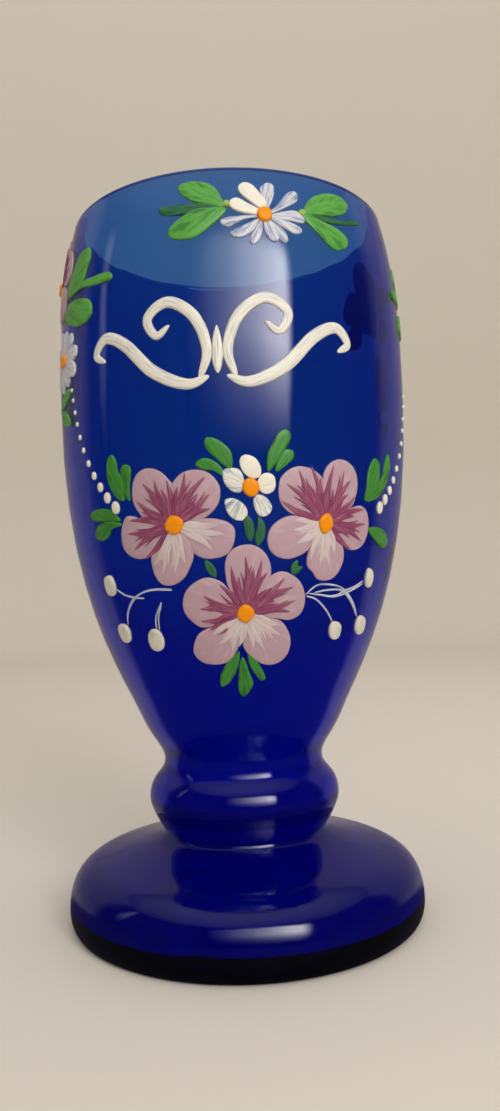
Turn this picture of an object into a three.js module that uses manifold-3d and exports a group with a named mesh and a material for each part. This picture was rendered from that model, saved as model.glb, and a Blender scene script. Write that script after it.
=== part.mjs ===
// A footed drinking glass of deep blue glass: a blown bowl, a hollow knop and a solid foot,
// fused hot face to face, with flowers painted on the bowl in raised enamel.
// Millimetres, +Z up. The foot stands on Z = 0 and the front of the painting looks along -Y.
import * as THREE from "three";
import { mergeVertices } from "three/addons/utils/BufferGeometryUtils.js";
import Module from "manifold-3d";

const wasm = await Module();
wasm.setup();

// The foot: a flat resting ring round a shallow hollow, a round edge and a cone up to a collar
const FOOT_RADIUS = 38.4;
const FOOT_HEIGHT = 18.75;
const FOOT_EDGE_HEIGHT = 3.6;
const FOOT_EDGE_RUN = 1.8;
const FOOT_SHOULDER_RUN = 6.7;
const FOOT_COLLAR_HEIGHT = 5.45;
const FOOT_SLOPE_DEG = 13.8;
const RING_WIDTH = 10.0;
const HOLLOW_RISE = 1.6;

// The knop: a bubble between the groove on the foot and the neck under the bowl
const GROOVE_RADIUS = 17.7;
const KNOP_RADIUS = 20.8;
const KNOP_HEIGHT = 15.2;
const KNOP_WIDEST_ABOVE_GROOVE = 6.9;
const KNOP_WALL = 3.0;
const KNOP_FLOOR = 3.4;
const NECK_RADIUS = 17.35;
const NECK_WALL = 3.2;

// The bowl: out of the neck in an S, widest high up, drawn in again to a round lip
const BOWL_HEIGHT = 116.05;
const HIP_RADIUS = 22.05;
const HIP_ABOVE_NECK = 9.25;
const HIP_LEAN_DEG = 23.5;
const BELLY_RADIUS = 37.8;
const BELLY_BELOW_RIM = 39.95;
const BELLY_WALL = 2.5;
const RIM_RADIUS = 33.05;
const RIM_LEAN_DEG = 14.4;
const LIP_THICKNESS = 2.2;

// How full each round run is drawn: the shares of the way by which it leaves and arrives
const HOLLOW_FULLNESS = [0.8, 0.4];
const FOOT_EDGE_FULLNESS = [0.55, 0.55];
const FOOT_SHOULDER_FULLNESS = [0.69, 0.69];
const COLLAR_FULLNESS = [0.7, 0.7];
const KNOP_SIDE_FULLNESS = [0.02, 0.31];
const KNOP_TOP_FULLNESS = [0.6, 0.41];
const BUBBLE_TOP_FULLNESS = [0.41, 0.5];
const BUBBLE_FLOOR_FULLNESS = [0.6, 0.5];
const HIP_FULLNESS = [0.27, 0.55];
const FLANK_FULLNESS = [0.18, 0.6];
const SHOULDER_FULLNESS = [0.57, 0.2];

// Enamel: how high each coat stands, and how far apart two dabs of one coat stay
const SEAT_GAP = 0.05;
const GROUND_COAT = 0.4;
const BUTTON_COAT = 0.8;
const BRUSH_GAP = 0.3;

// The painting is drawn on a grid of this size, laid round the belly and up the bowl
const GRID_SPACING = 1.0;
const BOUQUET_ABOVE_NECK = 43.4;
const SPRIG_ASIDE = 24.4;
const SPRIG_BELOW_BOUQUET = 9.35;
const TOP_SPRAY_BELOW_RIM = 10.2;
const SIDE_SPRAY_BELOW_RIM = 13.5;

// Brush sizes of what the painting repeats
const PANSY_BUTTON_RADIUS = 1.75;
const DAISY_BUTTON_RADIUS = 1.5;
const TOP_DAISY_RADIUS = 7.4;
const TOP_DAISY_PETALS = 13;
const SIDE_DAISY_RADIUS = 7.2;
const SIDE_DAISY_PETALS = 10;
const SIDE_PANSY_RADIUS = 11.4;
const FLOWER_GAP = 1.6;
const STEM_WIDTH = 0.7;
const FIRST_DOT_RADIUS = 1.2;
const DOT_SHRINK = 0.93;
const DOTS_PER_STRING = 4;

// Facets
const TURN_STEPS = 48;
const BOWL_STEPS = [3, 6, 4];
const BORE_STEPS = [2, 5, 3];
const LIP_STEPS = 4;
const KNOP_STEPS = [4, 3];
const BUBBLE_STEPS = 3;
const FOOT_STEPS = 4;
const HOLLOW_STEPS = 2;
const LEAF_STEPS = 4;
const STEM_STEPS = 5;
const OVAL_STEPS = 8;
const LOBE_STEPS = 4;
const LEAFLET_STEPS = 3;
const DAISY_STEPS = 2;

const neckZ = FOOT_HEIGHT + KNOP_HEIGHT;
const rimZ = neckZ + BOWL_HEIGHT;
const bellyZ = rimZ - BELLY_BELOW_RIM;

const glass = new THREE.MeshStandardMaterial({
  color: 0x060a6e,
  roughness: 0.04,
  metalness: 0,
  transparent: true,
  opacity: 0.85,
});
const enamel = (color) => new THREE.MeshStandardMaterial({ color, roughness: 0.35, metalness: 0 });
const lilac = enamel(0xbe9eac);
const cream = enamel(0xebe4d7);
const orange = enamel(0xeb910a);
const green = enamel(0x3f8f34);

const v2 = (x, y) => new THREE.Vector2(x, y);
const radians = THREE.MathUtils.degToRad;
const up = v2(0, 1);

// A run that turns one corner between its ends
function round(start, corner, end, [leave, arrive], steps) {
  const first = start.clone().lerp(corner, leave);
  const second = end.clone().lerp(corner, arrive);
  return new THREE.CubicBezierCurve(start, first, second, end).getPoints(steps);
}

// A run between two ends that each have an aim, with handles that are shares of its rise
function flowing(start, startAim, end, endAim, [leave, arrive], steps) {
  const rise = end.y - start.y;
  const first = start.clone().addScaledVector(startAim, leave * rise);
  const second = end.clone().addScaledVector(endAim, -arrive * rise);
  return new THREE.CubicBezierCurve(start, first, second, end).getPoints(steps);
}

// Runs that start where the one before ends
function joined(...runs) {
  return runs.reduce((all, run) => all.concat(run.slice(1)));
}

// One side of the bowl's wall from the neck to the lip, moved in from the outside by the walls
function bowlSide(neckWall, bellyWall, lipSide, [hipSteps, flankSteps, shoulderSteps]) {
  const hipShare = HIP_ABOVE_NECK / (bellyZ - neckZ);
  const hipWall = THREE.MathUtils.lerp(neckWall, bellyWall, hipShare);
  const hipAim = v2(Math.sin(radians(HIP_LEAN_DEG)), Math.cos(radians(HIP_LEAN_DEG)));
  const lipAim = v2(-Math.sin(radians(RIM_LEAN_DEG)), Math.cos(radians(RIM_LEAN_DEG)));
  const neck = v2(NECK_RADIUS - neckWall, neckZ);
  const hip = v2(
    HIP_RADIUS - hipWall * hipAim.y,
    neckZ + HIP_ABOVE_NECK + hipWall * hipAim.x,
  );
  const belly = v2(BELLY_RADIUS - bellyWall, bellyZ);
  const lip = v2(
    RIM_RADIUS + (lipSide * LIP_THICKNESS * lipAim.y) / 2,
    rimZ - LIP_THICKNESS / 2 - (lipSide * LIP_THICKNESS * lipAim.x) / 2,
  );
  return joined(
    flowing(neck, up, hip, hipAim, HIP_FULLNESS, hipSteps),
    flowing(hip, hipAim, belly, up, FLANK_FULLNESS, flankSteps),
    flowing(belly, up, lip, lipAim, SHOULDER_FULLNESS, shoulderSteps),
  );
}

function bowlProfile() {
  const outside = bowlSide(0, 0, 1, BOWL_STEPS);
  const inside = bowlSide(NECK_WALL, BELLY_WALL, -1, BORE_STEPS).reverse();
  const rimLean = radians(RIM_LEAN_DEG);
  const lip = new THREE.EllipseCurve(
    RIM_RADIUS,
    rimZ - LIP_THICKNESS / 2,
    LIP_THICKNESS / 2,
    LIP_THICKNESS / 2,
    rimLean,
    rimLean + Math.PI,
  ).getPoints(LIP_STEPS);
  return joined(outside, lip, inside, [inside.at(-1), outside[0]]);
}

function knopProfile() {
  const groove = v2(GROOVE_RADIUS, FOOT_HEIGHT);
  const widest = v2(KNOP_RADIUS, FOOT_HEIGHT + KNOP_WIDEST_ABOVE_GROOVE);
  const neck = v2(NECK_RADIUS, neckZ);
  const bore = v2(NECK_RADIUS - NECK_WALL, neckZ);
  const bubble = v2(KNOP_RADIUS - KNOP_WALL, widest.y);
  const floor = v2(0, FOOT_HEIGHT + KNOP_FLOOR);
  const [sideSteps, topSteps] = KNOP_STEPS;
  return joined(
    [v2(0, FOOT_HEIGHT), groove],
    round(groove, v2(KNOP_RADIUS, FOOT_HEIGHT), widest, KNOP_SIDE_FULLNESS, sideSteps),
    flowing(widest, up, neck, up, KNOP_TOP_FULLNESS, topSteps),
    [neck, bore],
    flowing(bore, up, bubble, up, BUBBLE_TOP_FULLNESS, BUBBLE_STEPS),
    round(bubble, v2(bubble.x, floor.y), floor, BUBBLE_FLOOR_FULLNESS, BUBBLE_STEPS),
  );
}

function footProfile() {
  const slope = Math.tan(radians(FOOT_SLOPE_DEG));
  const ringOuter = v2(FOOT_RADIUS - FOOT_EDGE_RUN, 0);
  const ringInner = v2(ringOuter.x - RING_WIDTH, 0);
  const hollow = v2(0, HOLLOW_RISE);
  const hollowCorner = v2(ringInner.x / 2, HOLLOW_RISE);
  const edge = v2(FOOT_RADIUS, FOOT_EDGE_HEIGHT);
  const shoulder = v2(FOOT_RADIUS - FOOT_SHOULDER_RUN, FOOT_HEIGHT - FOOT_COLLAR_HEIGHT);
  const overEdge = v2(FOOT_RADIUS, shoulder.y - FOOT_SHOULDER_RUN * slope);
  const top = v2(GROOVE_RADIUS, FOOT_HEIGHT);
  const collar = v2(GROOVE_RADIUS, shoulder.y + (shoulder.x - GROOVE_RADIUS) * slope);
  return joined(
    round(hollow, hollowCorner, ringInner, HOLLOW_FULLNESS, HOLLOW_STEPS),
    [ringInner, ringOuter],
    round(ringOuter, v2(FOOT_RADIUS, 0), edge, FOOT_EDGE_FULLNESS, FOOT_STEPS - 1),
    round(edge, overEdge, shoulder, FOOT_SHOULDER_FULLNESS, FOOT_STEPS),
    round(shoulder, collar, top, COLLAR_FULLNESS, FOOT_STEPS),
    [top, v2(0, FOOT_HEIGHT)],
  );
}

// Turns a profile, listed up the outside and down the inside, about the Z axis
function turned(profile) {
  return new THREE.LatheGeometry(profile, TURN_STEPS).rotateX(Math.PI / 2);
}

const body = new THREE.Group();
const profiles = { bowl: bowlProfile(), knop: knopProfile(), foot: footProfile() };
for (const [name, profile] of Object.entries(profiles)) {
  const mesh = new THREE.Mesh(turned(profile), glass);
  mesh.name = name;
  body.add(mesh);
}

// Geometry to solid and back, for the cuts of the enamel
const WELD = 1e-3;
const SCRAP_VOLUME = 1e-3;

function solidOf(geometry) {
  const bare = geometry.clone();
  bare.deleteAttribute("normal");
  bare.deleteAttribute("uv");
  const merged = mergeVertices(bare, WELD);
  return new wasm.Manifold(
    new wasm.Mesh({
      numProp: 3,
      vertProperties: new Float32Array(merged.attributes.position.array),
      triVerts: new Uint32Array(merged.index.array),
    }),
  );
}

function geometryOf(solid) {
  const mesh = solid.getMesh();
  const geometry = new THREE.BufferGeometry();
  geometry.setAttribute("position", new THREE.BufferAttribute(mesh.vertProperties, 3));
  geometry.setIndex(new THREE.BufferAttribute(mesh.triVerts, 1));
  geometry.computeVertexNormals();
  return geometry;
}

// The outside of the bowl that is painted on, and its radius at a height
const wall = bowlSide(0, 0, 1, BOWL_STEPS);

function radiusAt(z) {
  const next = Math.max(1, wall.findIndex((point) => point.y >= z));
  const [low, high] = [wall[next - 1], wall[next]];
  return THREE.MathUtils.mapLinear(z, low.y, high.y, low.x, high.x);
}

// A skin that follows the bowl's own facets, between two distances from the glass
function skin(from, to) {
  const inner = wall.map((point) => v2(point.x + from, point.y));
  const outer = wall.map((point) => v2(point.x + to, point.y));
  return solidOf(turned([...outer, ...inner.reverse(), outer[0]]));
}

const groundTop = SEAT_GAP + GROUND_COAT;
const buttonFoot = groundTop + SEAT_GAP;
const coats = {
  ground: skin(SEAT_GAP, groundTop),
  button: skin(buttonFoot, buttonFoot + BUTTON_COAT),
};

// A spot is x along the girth of the belly and z up the bowl, in millimetres. An outline lies in
// the plane that touches the bowl at its spot, and is a function of how far it is grown.
function spotOf(group, x, z) {
  return { x: group.x + x * GRID_SPACING, z: group.z + z * GRID_SPACING };
}

function azimuthOf(spot) {
  return spot.x / BELLY_RADIUS;
}

function inPlane(spot, other) {
  const turn = azimuthOf(other) - azimuthOf(spot);
  return v2(radiusAt(other.z) * Math.sin(turn), other.z - spot.z);
}

// The outline driven from the axis out through the wall at its spot
function prism(outline, spot) {
  const block = new THREE.ExtrudeGeometry(new THREE.Shape(outline), {
    depth: 2 * BELLY_RADIUS,
    bevelEnabled: false,
    steps: 1,
  });
  block.rotateX(Math.PI / 2);
  block.rotateZ(azimuthOf(spot));
  block.translate(0, 0, spot.z);
  return solidOf(block);
}

// Welds a solid's corners and leaves out the flat scraps, without volume, that a cut can leave
function welded(solid) {
  const pieces = solidOf(geometryOf(solid)).decompose();
  const real = pieces.filter((piece) => Math.abs(piece.volume()) > SCRAP_VOLUME);
  return real.reduce((a, b) => a.add(b));
}

const painting = new THREE.Group();
const laid = { ground: [], button: [] };

// Lays one dab of a coat inside the outlines, kept clear of what that coat already holds
function paint(name, material, coat, spot, outlines) {
  const reach = (grow) => {
    const prisms = outlines.map((outline) => prism(outline(grow), spot));
    return prisms.reduce((a, b) => a.add(b)).intersect(coats[coat]);
  };
  const dab = laid[coat].reduce((left, earlier) => left.subtract(earlier), reach(0));
  laid[coat].push(reach(BRUSH_GAP));
  const mesh = new THREE.Mesh(geometryOf(welded(dab)), material);
  mesh.name = name;
  painting.add(mesh);
}

function oval(centre, radiusX, radiusY, tilt = 0) {
  return (grow) => {
    const fullTurn = 2 * Math.PI;
    const [wide, high] = [radiusX + grow, radiusY + grow];
    const edge = new THREE.EllipseCurve(centre.x, centre.y, wide, high, 0, fullTurn, false, tilt);
    return edge.getPoints(OVAL_STEPS).slice(1);
  };
}

const button = (radius) => [oval(v2(0, 0), radius, radius)];

// A lobe is one petal or one leaf of a fan: its aim in degrees from the girth, its reach from
// where the strokes meet, and half the angle that it fills
const PETAL_SPREAD_DEG = 45;
const LOBE_ROUNDNESS = 0.4;
const CLOSEST_ANGLE = 0.02;

function lobe(aimDeg, reach, spreadDeg = PETAL_SPREAD_DEG) {
  return { aim: radians(aimDeg), reach: reach * GRID_SPACING, spread: radians(spreadDeg) };
}

function lobeReach({ aim, reach, spread }, angle) {
  const away = Math.abs(Math.atan2(Math.sin(angle - aim), Math.cos(angle - aim)));
  if (away >= spread) return 0;
  return reach * Math.cos(((away / spread) * Math.PI) / 2) ** LOBE_ROUNDNESS;
}

// The outline round all lobes and the heart that they leave from
function rosette(lobes, heart, stepsPerSide) {
  const fullTurn = 2 * Math.PI;
  const wrap = (angle) => THREE.MathUtils.euclideanModulo(angle, fullTurn);
  const aims = lobes.map((one) => wrap(one.aim)).sort((a, b) => a - b);
  const angles = aims.map((aim, i) => wrap((aim + (aims[i + 1] ?? aims[0] + fullTurn)) / 2));
  for (const { aim, spread } of lobes) {
    for (let step = -stepsPerSide; step <= stepsPerSide; step += 1) {
      const share = Math.sin(((step / stepsPerSide) * Math.PI) / 2);
      angles.push(wrap(aim + share * spread));
    }
  }
  angles.sort((a, b) => a - b);
  const apart = angles.filter((angle, i) => i === 0 || angle - angles[i - 1] > CLOSEST_ANGLE);
  return (grow) =>
    apart.map((angle) => {
      const reach = Math.max(heart, ...lobes.map((one) => lobeReach(one, angle))) + grow;
      return v2(reach * Math.cos(angle), reach * Math.sin(angle));
    });
}

// A daisy's petals, with the heart that they grow from as a share of its radius
const DAISY_HEART = 0.45;

function daisy(petals, radius) {
  const spread = Math.PI / petals;
  const aims = Array.from({ length: petals }, (_, i) => 2 * i * spread);
  const lobes = aims.map((aim) => ({ aim, reach: radius, spread }));
  return [rosette(lobes, DAISY_HEART * radius, DAISY_STEPS)];
}

// The two edges of a stroke, from its middle line and its half width at each step
function stroke(middles, normals, halves) {
  const side = (sign) => middles.map((m, i) => m.clone().addScaledVector(normals[i], sign * halves[i]));
  return [...side(-1), ...side(1).reverse()];
}

// A stem through points, a little wider at its far end
const STEM_FLARE = 1.4;

function stem(points) {
  return (grow) => {
    const curve = new THREE.SplineCurve(points);
    const along = Array.from({ length: STEM_STEPS + 1 }, (_, i) => i / STEM_STEPS);
    const normals = along.map((t) => v2(-curve.getTangent(t).y, curve.getTangent(t).x));
    const halves = along.map((t) => (STEM_WIDTH * (1 + (STEM_FLARE - 1) * t)) / 2 + grow);
    return stroke(along.map((t) => curve.getPoint(t)), normals, halves);
  };
}

// A single leaf is one press of the brush: a thin start, full past its middle, a blunt end
const LEAF_FULL_PAST = 1.5;
const LEAF_BLUNTNESS = 0.8;
const LEAF_TIP_WIDTH = 0.3;

function leaf(base, tip, width, bend) {
  return (grow) => {
    const aim = tip.clone().sub(base).normalize();
    const across = v2(-aim.y, aim.x);
    const along = Array.from({ length: LEAF_STEPS + 1 }, (_, i) => i / LEAF_STEPS);
    const middles = along.map((t) =>
      base
        .clone()
        .lerp(tip, t)
        .addScaledVector(aim, (2 * t - 1) * grow)
        .addScaledVector(across, bend * 4 * t * (1 - t)),
    );
    const halves = along.map((t) => {
      const press = Math.sin(Math.PI * t ** LEAF_FULL_PAST) ** LEAF_BLUNTNESS;
      return (width * press + LEAF_TIP_WIDTH) / 2 + grow;
    });
    return stroke(middles, along.map(() => across), halves);
  };
}

// Paints a leaf from base to tip, both on the grid of a group
function paintLeaf(name, group, [base, tip, width, bend]) {
  const spot = spotOf(group, (base[0] + tip[0]) / 2, (base[1] + tip[1]) / 2);
  const [from, to] = [base, tip].map((end) => inPlane(spot, spotOf(group, ...end)));
  paint(name, green, "ground", spot, [leaf(from, to, width * GRID_SPACING, bend * GRID_SPACING)]);
}

// Paints a fan of leaves as one dab: each leaf is its tip, seen from the base, and its width.
// A lobe is about as wide as its reach times its spread.
const FAN_HEART = 0.7;

function paintFan(name, group, base, leaflets) {
  const spot = spotOf(group, ...base);
  const lobes = leaflets.map(([x, z, width]) => {
    const tip = inPlane(spot, spotOf(spot, x, z));
    return { aim: tip.angle(), reach: tip.length(), spread: (width * GRID_SPACING) / tip.length() };
  });
  paint(name, green, "ground", spot, [rosette(lobes, FAN_HEART, LEAFLET_STEPS)]);
}

// The bouquet's three pansies, petal by petal: the dark ones above, the pale ones below
const bouquet = { x: 0, z: neckZ + BOUQUET_ABOVE_NECK };
const PANSY_HEART = 4;
const pansies = {
  left_pansy: {
    spot: spotOf(bouquet, -12.55, 5.65),
    dark: [lobe(50, 10.6), lobe(121, 11.2), lobe(190, 11.9)],
    pale: [lobe(259, 11.4), lobe(346, 11.3)],
  },
  right_pansy: {
    spot: spotOf(bouquet, 18.16, 4.95),
    dark: [lobe(-2, 11.6), lobe(63, 12.2), lobe(132, 12.0)],
    pale: [lobe(196, 11.4), lobe(277, 10.6, 42)],
  },
  low_pansy: {
    spot: spotOf(bouquet, 1.19, -11.05),
    dark: [lobe(21, 11.7), lobe(87, 12.4), lobe(167, 11.7)],
    pale: [lobe(223, 12.0, 42), lobe(308, 11.2, 42)],
  },
};
for (const [name, { spot, dark, pale }] of Object.entries(pansies)) {
  const petals = [...dark, ...pale];
  paint(name + "_petals", lilac, "ground", spot, [rosette(petals, PANSY_HEART, LOBE_STEPS)]);
  paint(name + "_eye", orange, "button", spot, button(PANSY_BUTTON_RADIUS));
}

// The white posy between the pansies
const posy = spotOf(bouquet, 2.84, 11.65);
const POSY_HEART = 1.6;
const posyPetals = [
  lobe(88, 5.9, 34),
  lobe(14, 5.4, 33),
  lobe(-54, 5.0, 33),
  lobe(-127, 5.2, 33),
  lobe(156, 5.0, 36),
];
paint("posy_petals", cream, "ground", posy, [rosette(posyPetals, POSY_HEART, LEAFLET_STEPS)]);
paint("posy_eye", orange, "button", posy, button(DAISY_BUTTON_RADIUS));

// The daisy under the rim, with a fan of three leaves on each side
const topDaisy = { x: 7.13 * GRID_SPACING, z: rimZ - TOP_SPRAY_BELOW_RIM };
paint("top_daisy_petals", cream, "ground", topDaisy, daisy(TOP_DAISY_PETALS, TOP_DAISY_RADIUS));
paint("top_daisy_eye", orange, "button", topDaisy, button(DAISY_BUTTON_RADIUS));
for (const [side, turn] of [["left", -1], ["right", 1]]) {
  const joint = { x: topDaisy.x + turn * (TOP_DAISY_RADIUS + FLOWER_GAP), z: topDaisy.z };
  const leaflets = [
    [turn * 9.9, 4.5, 3.7],
    [turn * 13.5, 1.1, 1.5],
    [turn * 9.9, -4.9, 4.0],
  ];
  paintFan("top_leaves_" + side, joint, [0, 1.7], leaflets);
}

// Sprays on the two sides of the bowl: a pansy, a fan of leaves, a daisy and two leaves below it
const SIDE_SPRAYS = { left: { x: -52.2, turn: 1 }, right: { x: 71.3, turn: -1 } };
const SIDE_PETAL_AIMS = [10, 82, 154, 226, 298];
const SIDE_DAISY_AIM = radians(-63);
for (const [side, { x, turn }] of Object.entries(SIDE_SPRAYS)) {
  const pansy = { x: x * GRID_SPACING, z: rimZ - SIDE_SPRAY_BELOW_RIM };
  const petals = SIDE_PETAL_AIMS.map((aim) => ({
    ...lobe(turn > 0 ? aim : 180 - aim, 0),
    reach: SIDE_PANSY_RADIUS,
  }));
  const flower = [rosette(petals, PANSY_HEART, LOBE_STEPS)];
  paint(side + "_spray_pansy_petals", lilac, "ground", pansy, flower);
  paint(side + "_spray_pansy_eye", orange, "button", pansy, button(PANSY_BUTTON_RADIUS));
  const drop = SIDE_PANSY_RADIUS + SIDE_DAISY_RADIUS + FLOWER_GAP;
  const low = {
    x: pansy.x + turn * drop * Math.cos(SIDE_DAISY_AIM),
    z: pansy.z + drop * Math.sin(SIDE_DAISY_AIM),
  };
  const lowFlower = daisy(SIDE_DAISY_PETALS, SIDE_DAISY_RADIUS);
  paint(side + "_spray_daisy_petals", cream, "ground", low, lowFlower);
  paint(side + "_spray_daisy_eye", orange, "button", low, button(DAISY_BUTTON_RADIUS));
  paintFan(side + "_spray_leaves", pansy, [turn * 8.4, -5.6], [
    [turn * 10.8, 8.6, 4.4],
    [turn * 19.0, 0.9, 2.2],
    [turn * 13.1, -4.4, 5.2],
  ]);
  const underDaisy = { x: low.x, z: low.z - SIDE_DAISY_RADIUS - FLOWER_GAP };
  paintFan(side + "_spray_low_leaves", underDaisy, [turn * -4.0, -0.4], [
    [turn * 7.1, 2.7, 3.0],
    [turn * 6.7, -3.8, 3.0],
  ]);
}

// Leaves of the bouquet: the fans with their bases and leaflets, and the single leaves
const fans = {
  left_upper_leaves: [[-22.7, 10.5], [[-3.2, 9.0, 3.1], [0.4, 7.0, 2.1]]],
  left_side_leaves: [[-25.4, 6.8], [[-9.3, 1.9, 2.2], [-8.3, -2.2, 3.0]]],
  right_upper_leaves: [[28.4, 10.2], [[3.5, 8.0, 4.0], [8.6, 8.2, 2.4]]],
  bottom_leaves: [[0.4, -17.6], [[-6.0, -7.3, 1.9], [0.4, -9.8, 3.0], [5.2, -6.6, 1.6]]],
};
for (const [name, [base, leaflets]] of Object.entries(fans)) {
  paintFan(name, bouquet, base, leaflets);
}
const leaves = {
  right_side_leaf: [[30.4, 4.2], [39.6, 2.5], 2.5, 0],
  posy_leaf_1: [[-0.9, 15.3], [-5.8, 20.6], 2.0, -1.3],
  posy_leaf_2: [[-2.8, 14.0], [-7.4, 16.4], 1.8, -0.8],
  posy_leaf_3: [[6.4, 14.9], [10.1, 22.1], 2.3, 0.4],
  posy_leaf_4: [[8.0, 15.0], [11.2, 18.5], 1.5, 0.2],
  stem_leaf_1: [[1.4, 6.6], [2.9, 2.6], 1.4, 0],
  stem_leaf_2: [[4.1, 6.6], [5.0, 2.2], 1.4, 0],
};
for (const [name, press] of Object.entries(leaves)) {
  paintLeaf(name, bouquet, press);
}

// Berries on curved stems on both sides of the low pansy: the way of each stem, from where the
// stems part, and the two radii of the berry at its end
function paintSprig(name, x, stems) {
  const outlines = stems.flatMap(({ through, berry }) => {
    const points = through.map(([across, rise]) => v2(across * GRID_SPACING, rise * GRID_SPACING));
    return [stem(points), oval(points.at(-1), berry[0] * GRID_SPACING, berry[1] * GRID_SPACING)];
  });
  paint(name, cream, "ground", { x, z: bouquet.z - SPRIG_BELOW_BOUQUET }, outlines);
}
paintSprig("left_sprig", -SPRIG_ASIDE, [
  { through: [[8.0, 2.7], [3.6, 3.0], [-0.6, 1.3], [-3.4, -1.0], [-6.1, -5.4]], berry: [2.0, 1.9] },
  { through: [[0, 1.6], [-2.5, 2.0], [-4.9, 3.1], [-7.0, 4.2]], berry: [1.8, 2.0] },
]);
paintSprig("left_low_sprig", -SPRIG_ASIDE, [
  { through: [[5.4, 0.2], [3.8, -2.4], [2.1, -6.8]], berry: [2.0, 2.1] },
]);
paintSprig("right_sprig", SPRIG_ASIDE, [
  { through: [[-7.6, 1.4], [-4.1, 3.0], [0.6, 2.5], [3.9, -0.5], [7.9, -5.5]], berry: [1.9, 1.9] },
  { through: [[-7.6, 1.2], [-2.8, 0.5], [1.7, 1.5], [7.8, 4.0]], berry: [1.6, 1.9] },
  { through: [[-7.6, 1.1], [-3.9, -1.0], [-1.1, -4.2], [0.2, -6.0]], berry: [1.7, 1.7] },
]);

// Strings of dots that climb from the pansies, each dot a little smaller than the last
const DOT_STEP = 1 / 9;
const strings = {
  left: [v2(-26.3, 9.6), v2(-35.2, 18.4), v2(-38.6, 34.4)],
  right: [v2(34.3, 8.45), v2(43.5, 15.5), v2(50.5, 33.5)],
};
for (const [side, points] of Object.entries(strings)) {
  const path = new THREE.QuadraticBezierCurve(...points);
  for (let dot = 0; dot < DOTS_PER_STRING; dot += 1) {
    const at = path.getPoint(dot * DOT_STEP);
    const radius = FIRST_DOT_RADIUS * DOT_SHRINK ** dot;
    paint(side + "_dot_" + (dot + 1), cream, "ground", spotOf(bouquet, at.x, at.y), button(radius));
  }
}

const drinkingGlass = new THREE.Group();
drinkingGlass.add(body, painting);

export default drinkingGlass;
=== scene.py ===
"""A footed drinking glass of deep blue glass with flowers painted in raised enamel.

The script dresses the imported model: metres, +Z up, the painting looks along -Y.
"""

import math

import bpy
import numpy as np
from mathutils import Matrix, Vector


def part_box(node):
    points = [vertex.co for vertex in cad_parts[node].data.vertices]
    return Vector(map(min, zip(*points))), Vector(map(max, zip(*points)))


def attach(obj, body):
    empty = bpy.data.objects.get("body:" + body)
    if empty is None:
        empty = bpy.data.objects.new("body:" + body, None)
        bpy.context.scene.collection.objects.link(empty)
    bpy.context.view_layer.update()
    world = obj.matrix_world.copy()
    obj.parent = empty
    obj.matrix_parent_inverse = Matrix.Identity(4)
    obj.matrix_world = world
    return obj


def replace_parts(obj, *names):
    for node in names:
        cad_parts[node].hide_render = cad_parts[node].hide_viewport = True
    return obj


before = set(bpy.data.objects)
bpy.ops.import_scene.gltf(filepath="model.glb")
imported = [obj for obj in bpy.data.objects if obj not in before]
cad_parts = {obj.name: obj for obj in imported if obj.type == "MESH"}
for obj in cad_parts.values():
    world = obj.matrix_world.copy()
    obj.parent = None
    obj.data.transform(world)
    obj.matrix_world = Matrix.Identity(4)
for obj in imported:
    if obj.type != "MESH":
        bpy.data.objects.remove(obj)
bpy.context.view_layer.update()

# The glass body. Bowl, knop and foot are blown and pressed apart and fused while hot, so they are
# one clear body of cobalt blue glass without a seam. Its section is drawn as a curve up the
# outside, over the lip and down the inside into the bubble of the knop, and spun about the axis.
MM = 0.001
FOOT_RADIUS = 38.395 * MM
FOOT_EDGE_HEIGHT = 3.6 * MM
FOOT_EDGE_RUN = 1.8 * MM
FOOT_SHOULDER_RUN = 6.7 * MM
FOOT_COLLAR_HEIGHT = 5.45 * MM
FOOT_SLOPE = math.tan(math.radians(13.8))
RING_WIDTH = 10.0 * MM
HOLLOW_RISE = 1.6 * MM
GROOVE_RADIUS = 17.7 * MM
KNOP_RADIUS = 20.8 * MM
KNOP_WIDEST_ABOVE_GROOVE = 6.9 * MM
KNOP_WALL = 3.0 * MM
KNOP_FLOOR = 3.4 * MM
NECK_RADIUS = 17.35 * MM
NECK_WALL = 3.2 * MM
HIP_RADIUS = 22.05 * MM
HIP_ABOVE_NECK = 9.25 * MM
HIP_LEAN = math.radians(23.5)
BELLY_RADIUS = 37.8 * MM
BELLY_BELOW_RIM = 39.95 * MM
BELLY_WALL = 2.5 * MM
RIM_RADIUS = 33.05 * MM
RIM_LEAN = math.radians(14.4)
LIP_THICKNESS = 2.2 * MM
CURVE_STEPS = 10
TURN_STEPS = 144
MERGE_WITHIN = 0.01 * MM
SHARPEST_SMOOTH_EDGE = math.radians(35)

# how far the handles of each curve of the section reach, at its start and at its end
HOLLOW_FULLNESS = (0.8, 0.4)
FOOT_EDGE_FULLNESS = (0.55, 0.55)
FOOT_SHOULDER_FULLNESS = (0.69, 0.69)
COLLAR_FULLNESS = (0.7, 0.7)
KNOP_FULLNESS = (0.02, 0.31)
NECK_FULLNESS = (0.6, 0.41)
HIP_FULLNESS = (0.27, 0.55)
FLANK_FULLNESS = (0.18, 0.6)
SHOULDER_FULLNESS = (0.57, 0.2)
THROAT_FULLNESS = (0.41, 0.5)
BUBBLE_FULLNESS = (0.6, 0.5)
QUARTER_ROUND = 0.5523

foot_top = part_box("foot")[1].z
neck_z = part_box("knop")[1].z
rim_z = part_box("bowl")[1].z
belly_z = rim_z - BELLY_BELOW_RIM
UP = Vector((0, 1))


def point(out, up):
    return Vector((out, up))


def rounded(start, corner, end, leave, arrive):
    """A run that turns one corner: its two handles and its end."""
    return start.lerp(corner, leave), end.lerp(corner, arrive), end


def flowing(start, start_aim, end, end_aim, leave, arrive):
    """A run between two aimed ends, with handles that are shares of its rise."""
    rise = end.y - start.y
    return start + leave * rise * start_aim, end - arrive * rise * end_aim, end


def straight(start, end):
    return start, end, end


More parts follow.
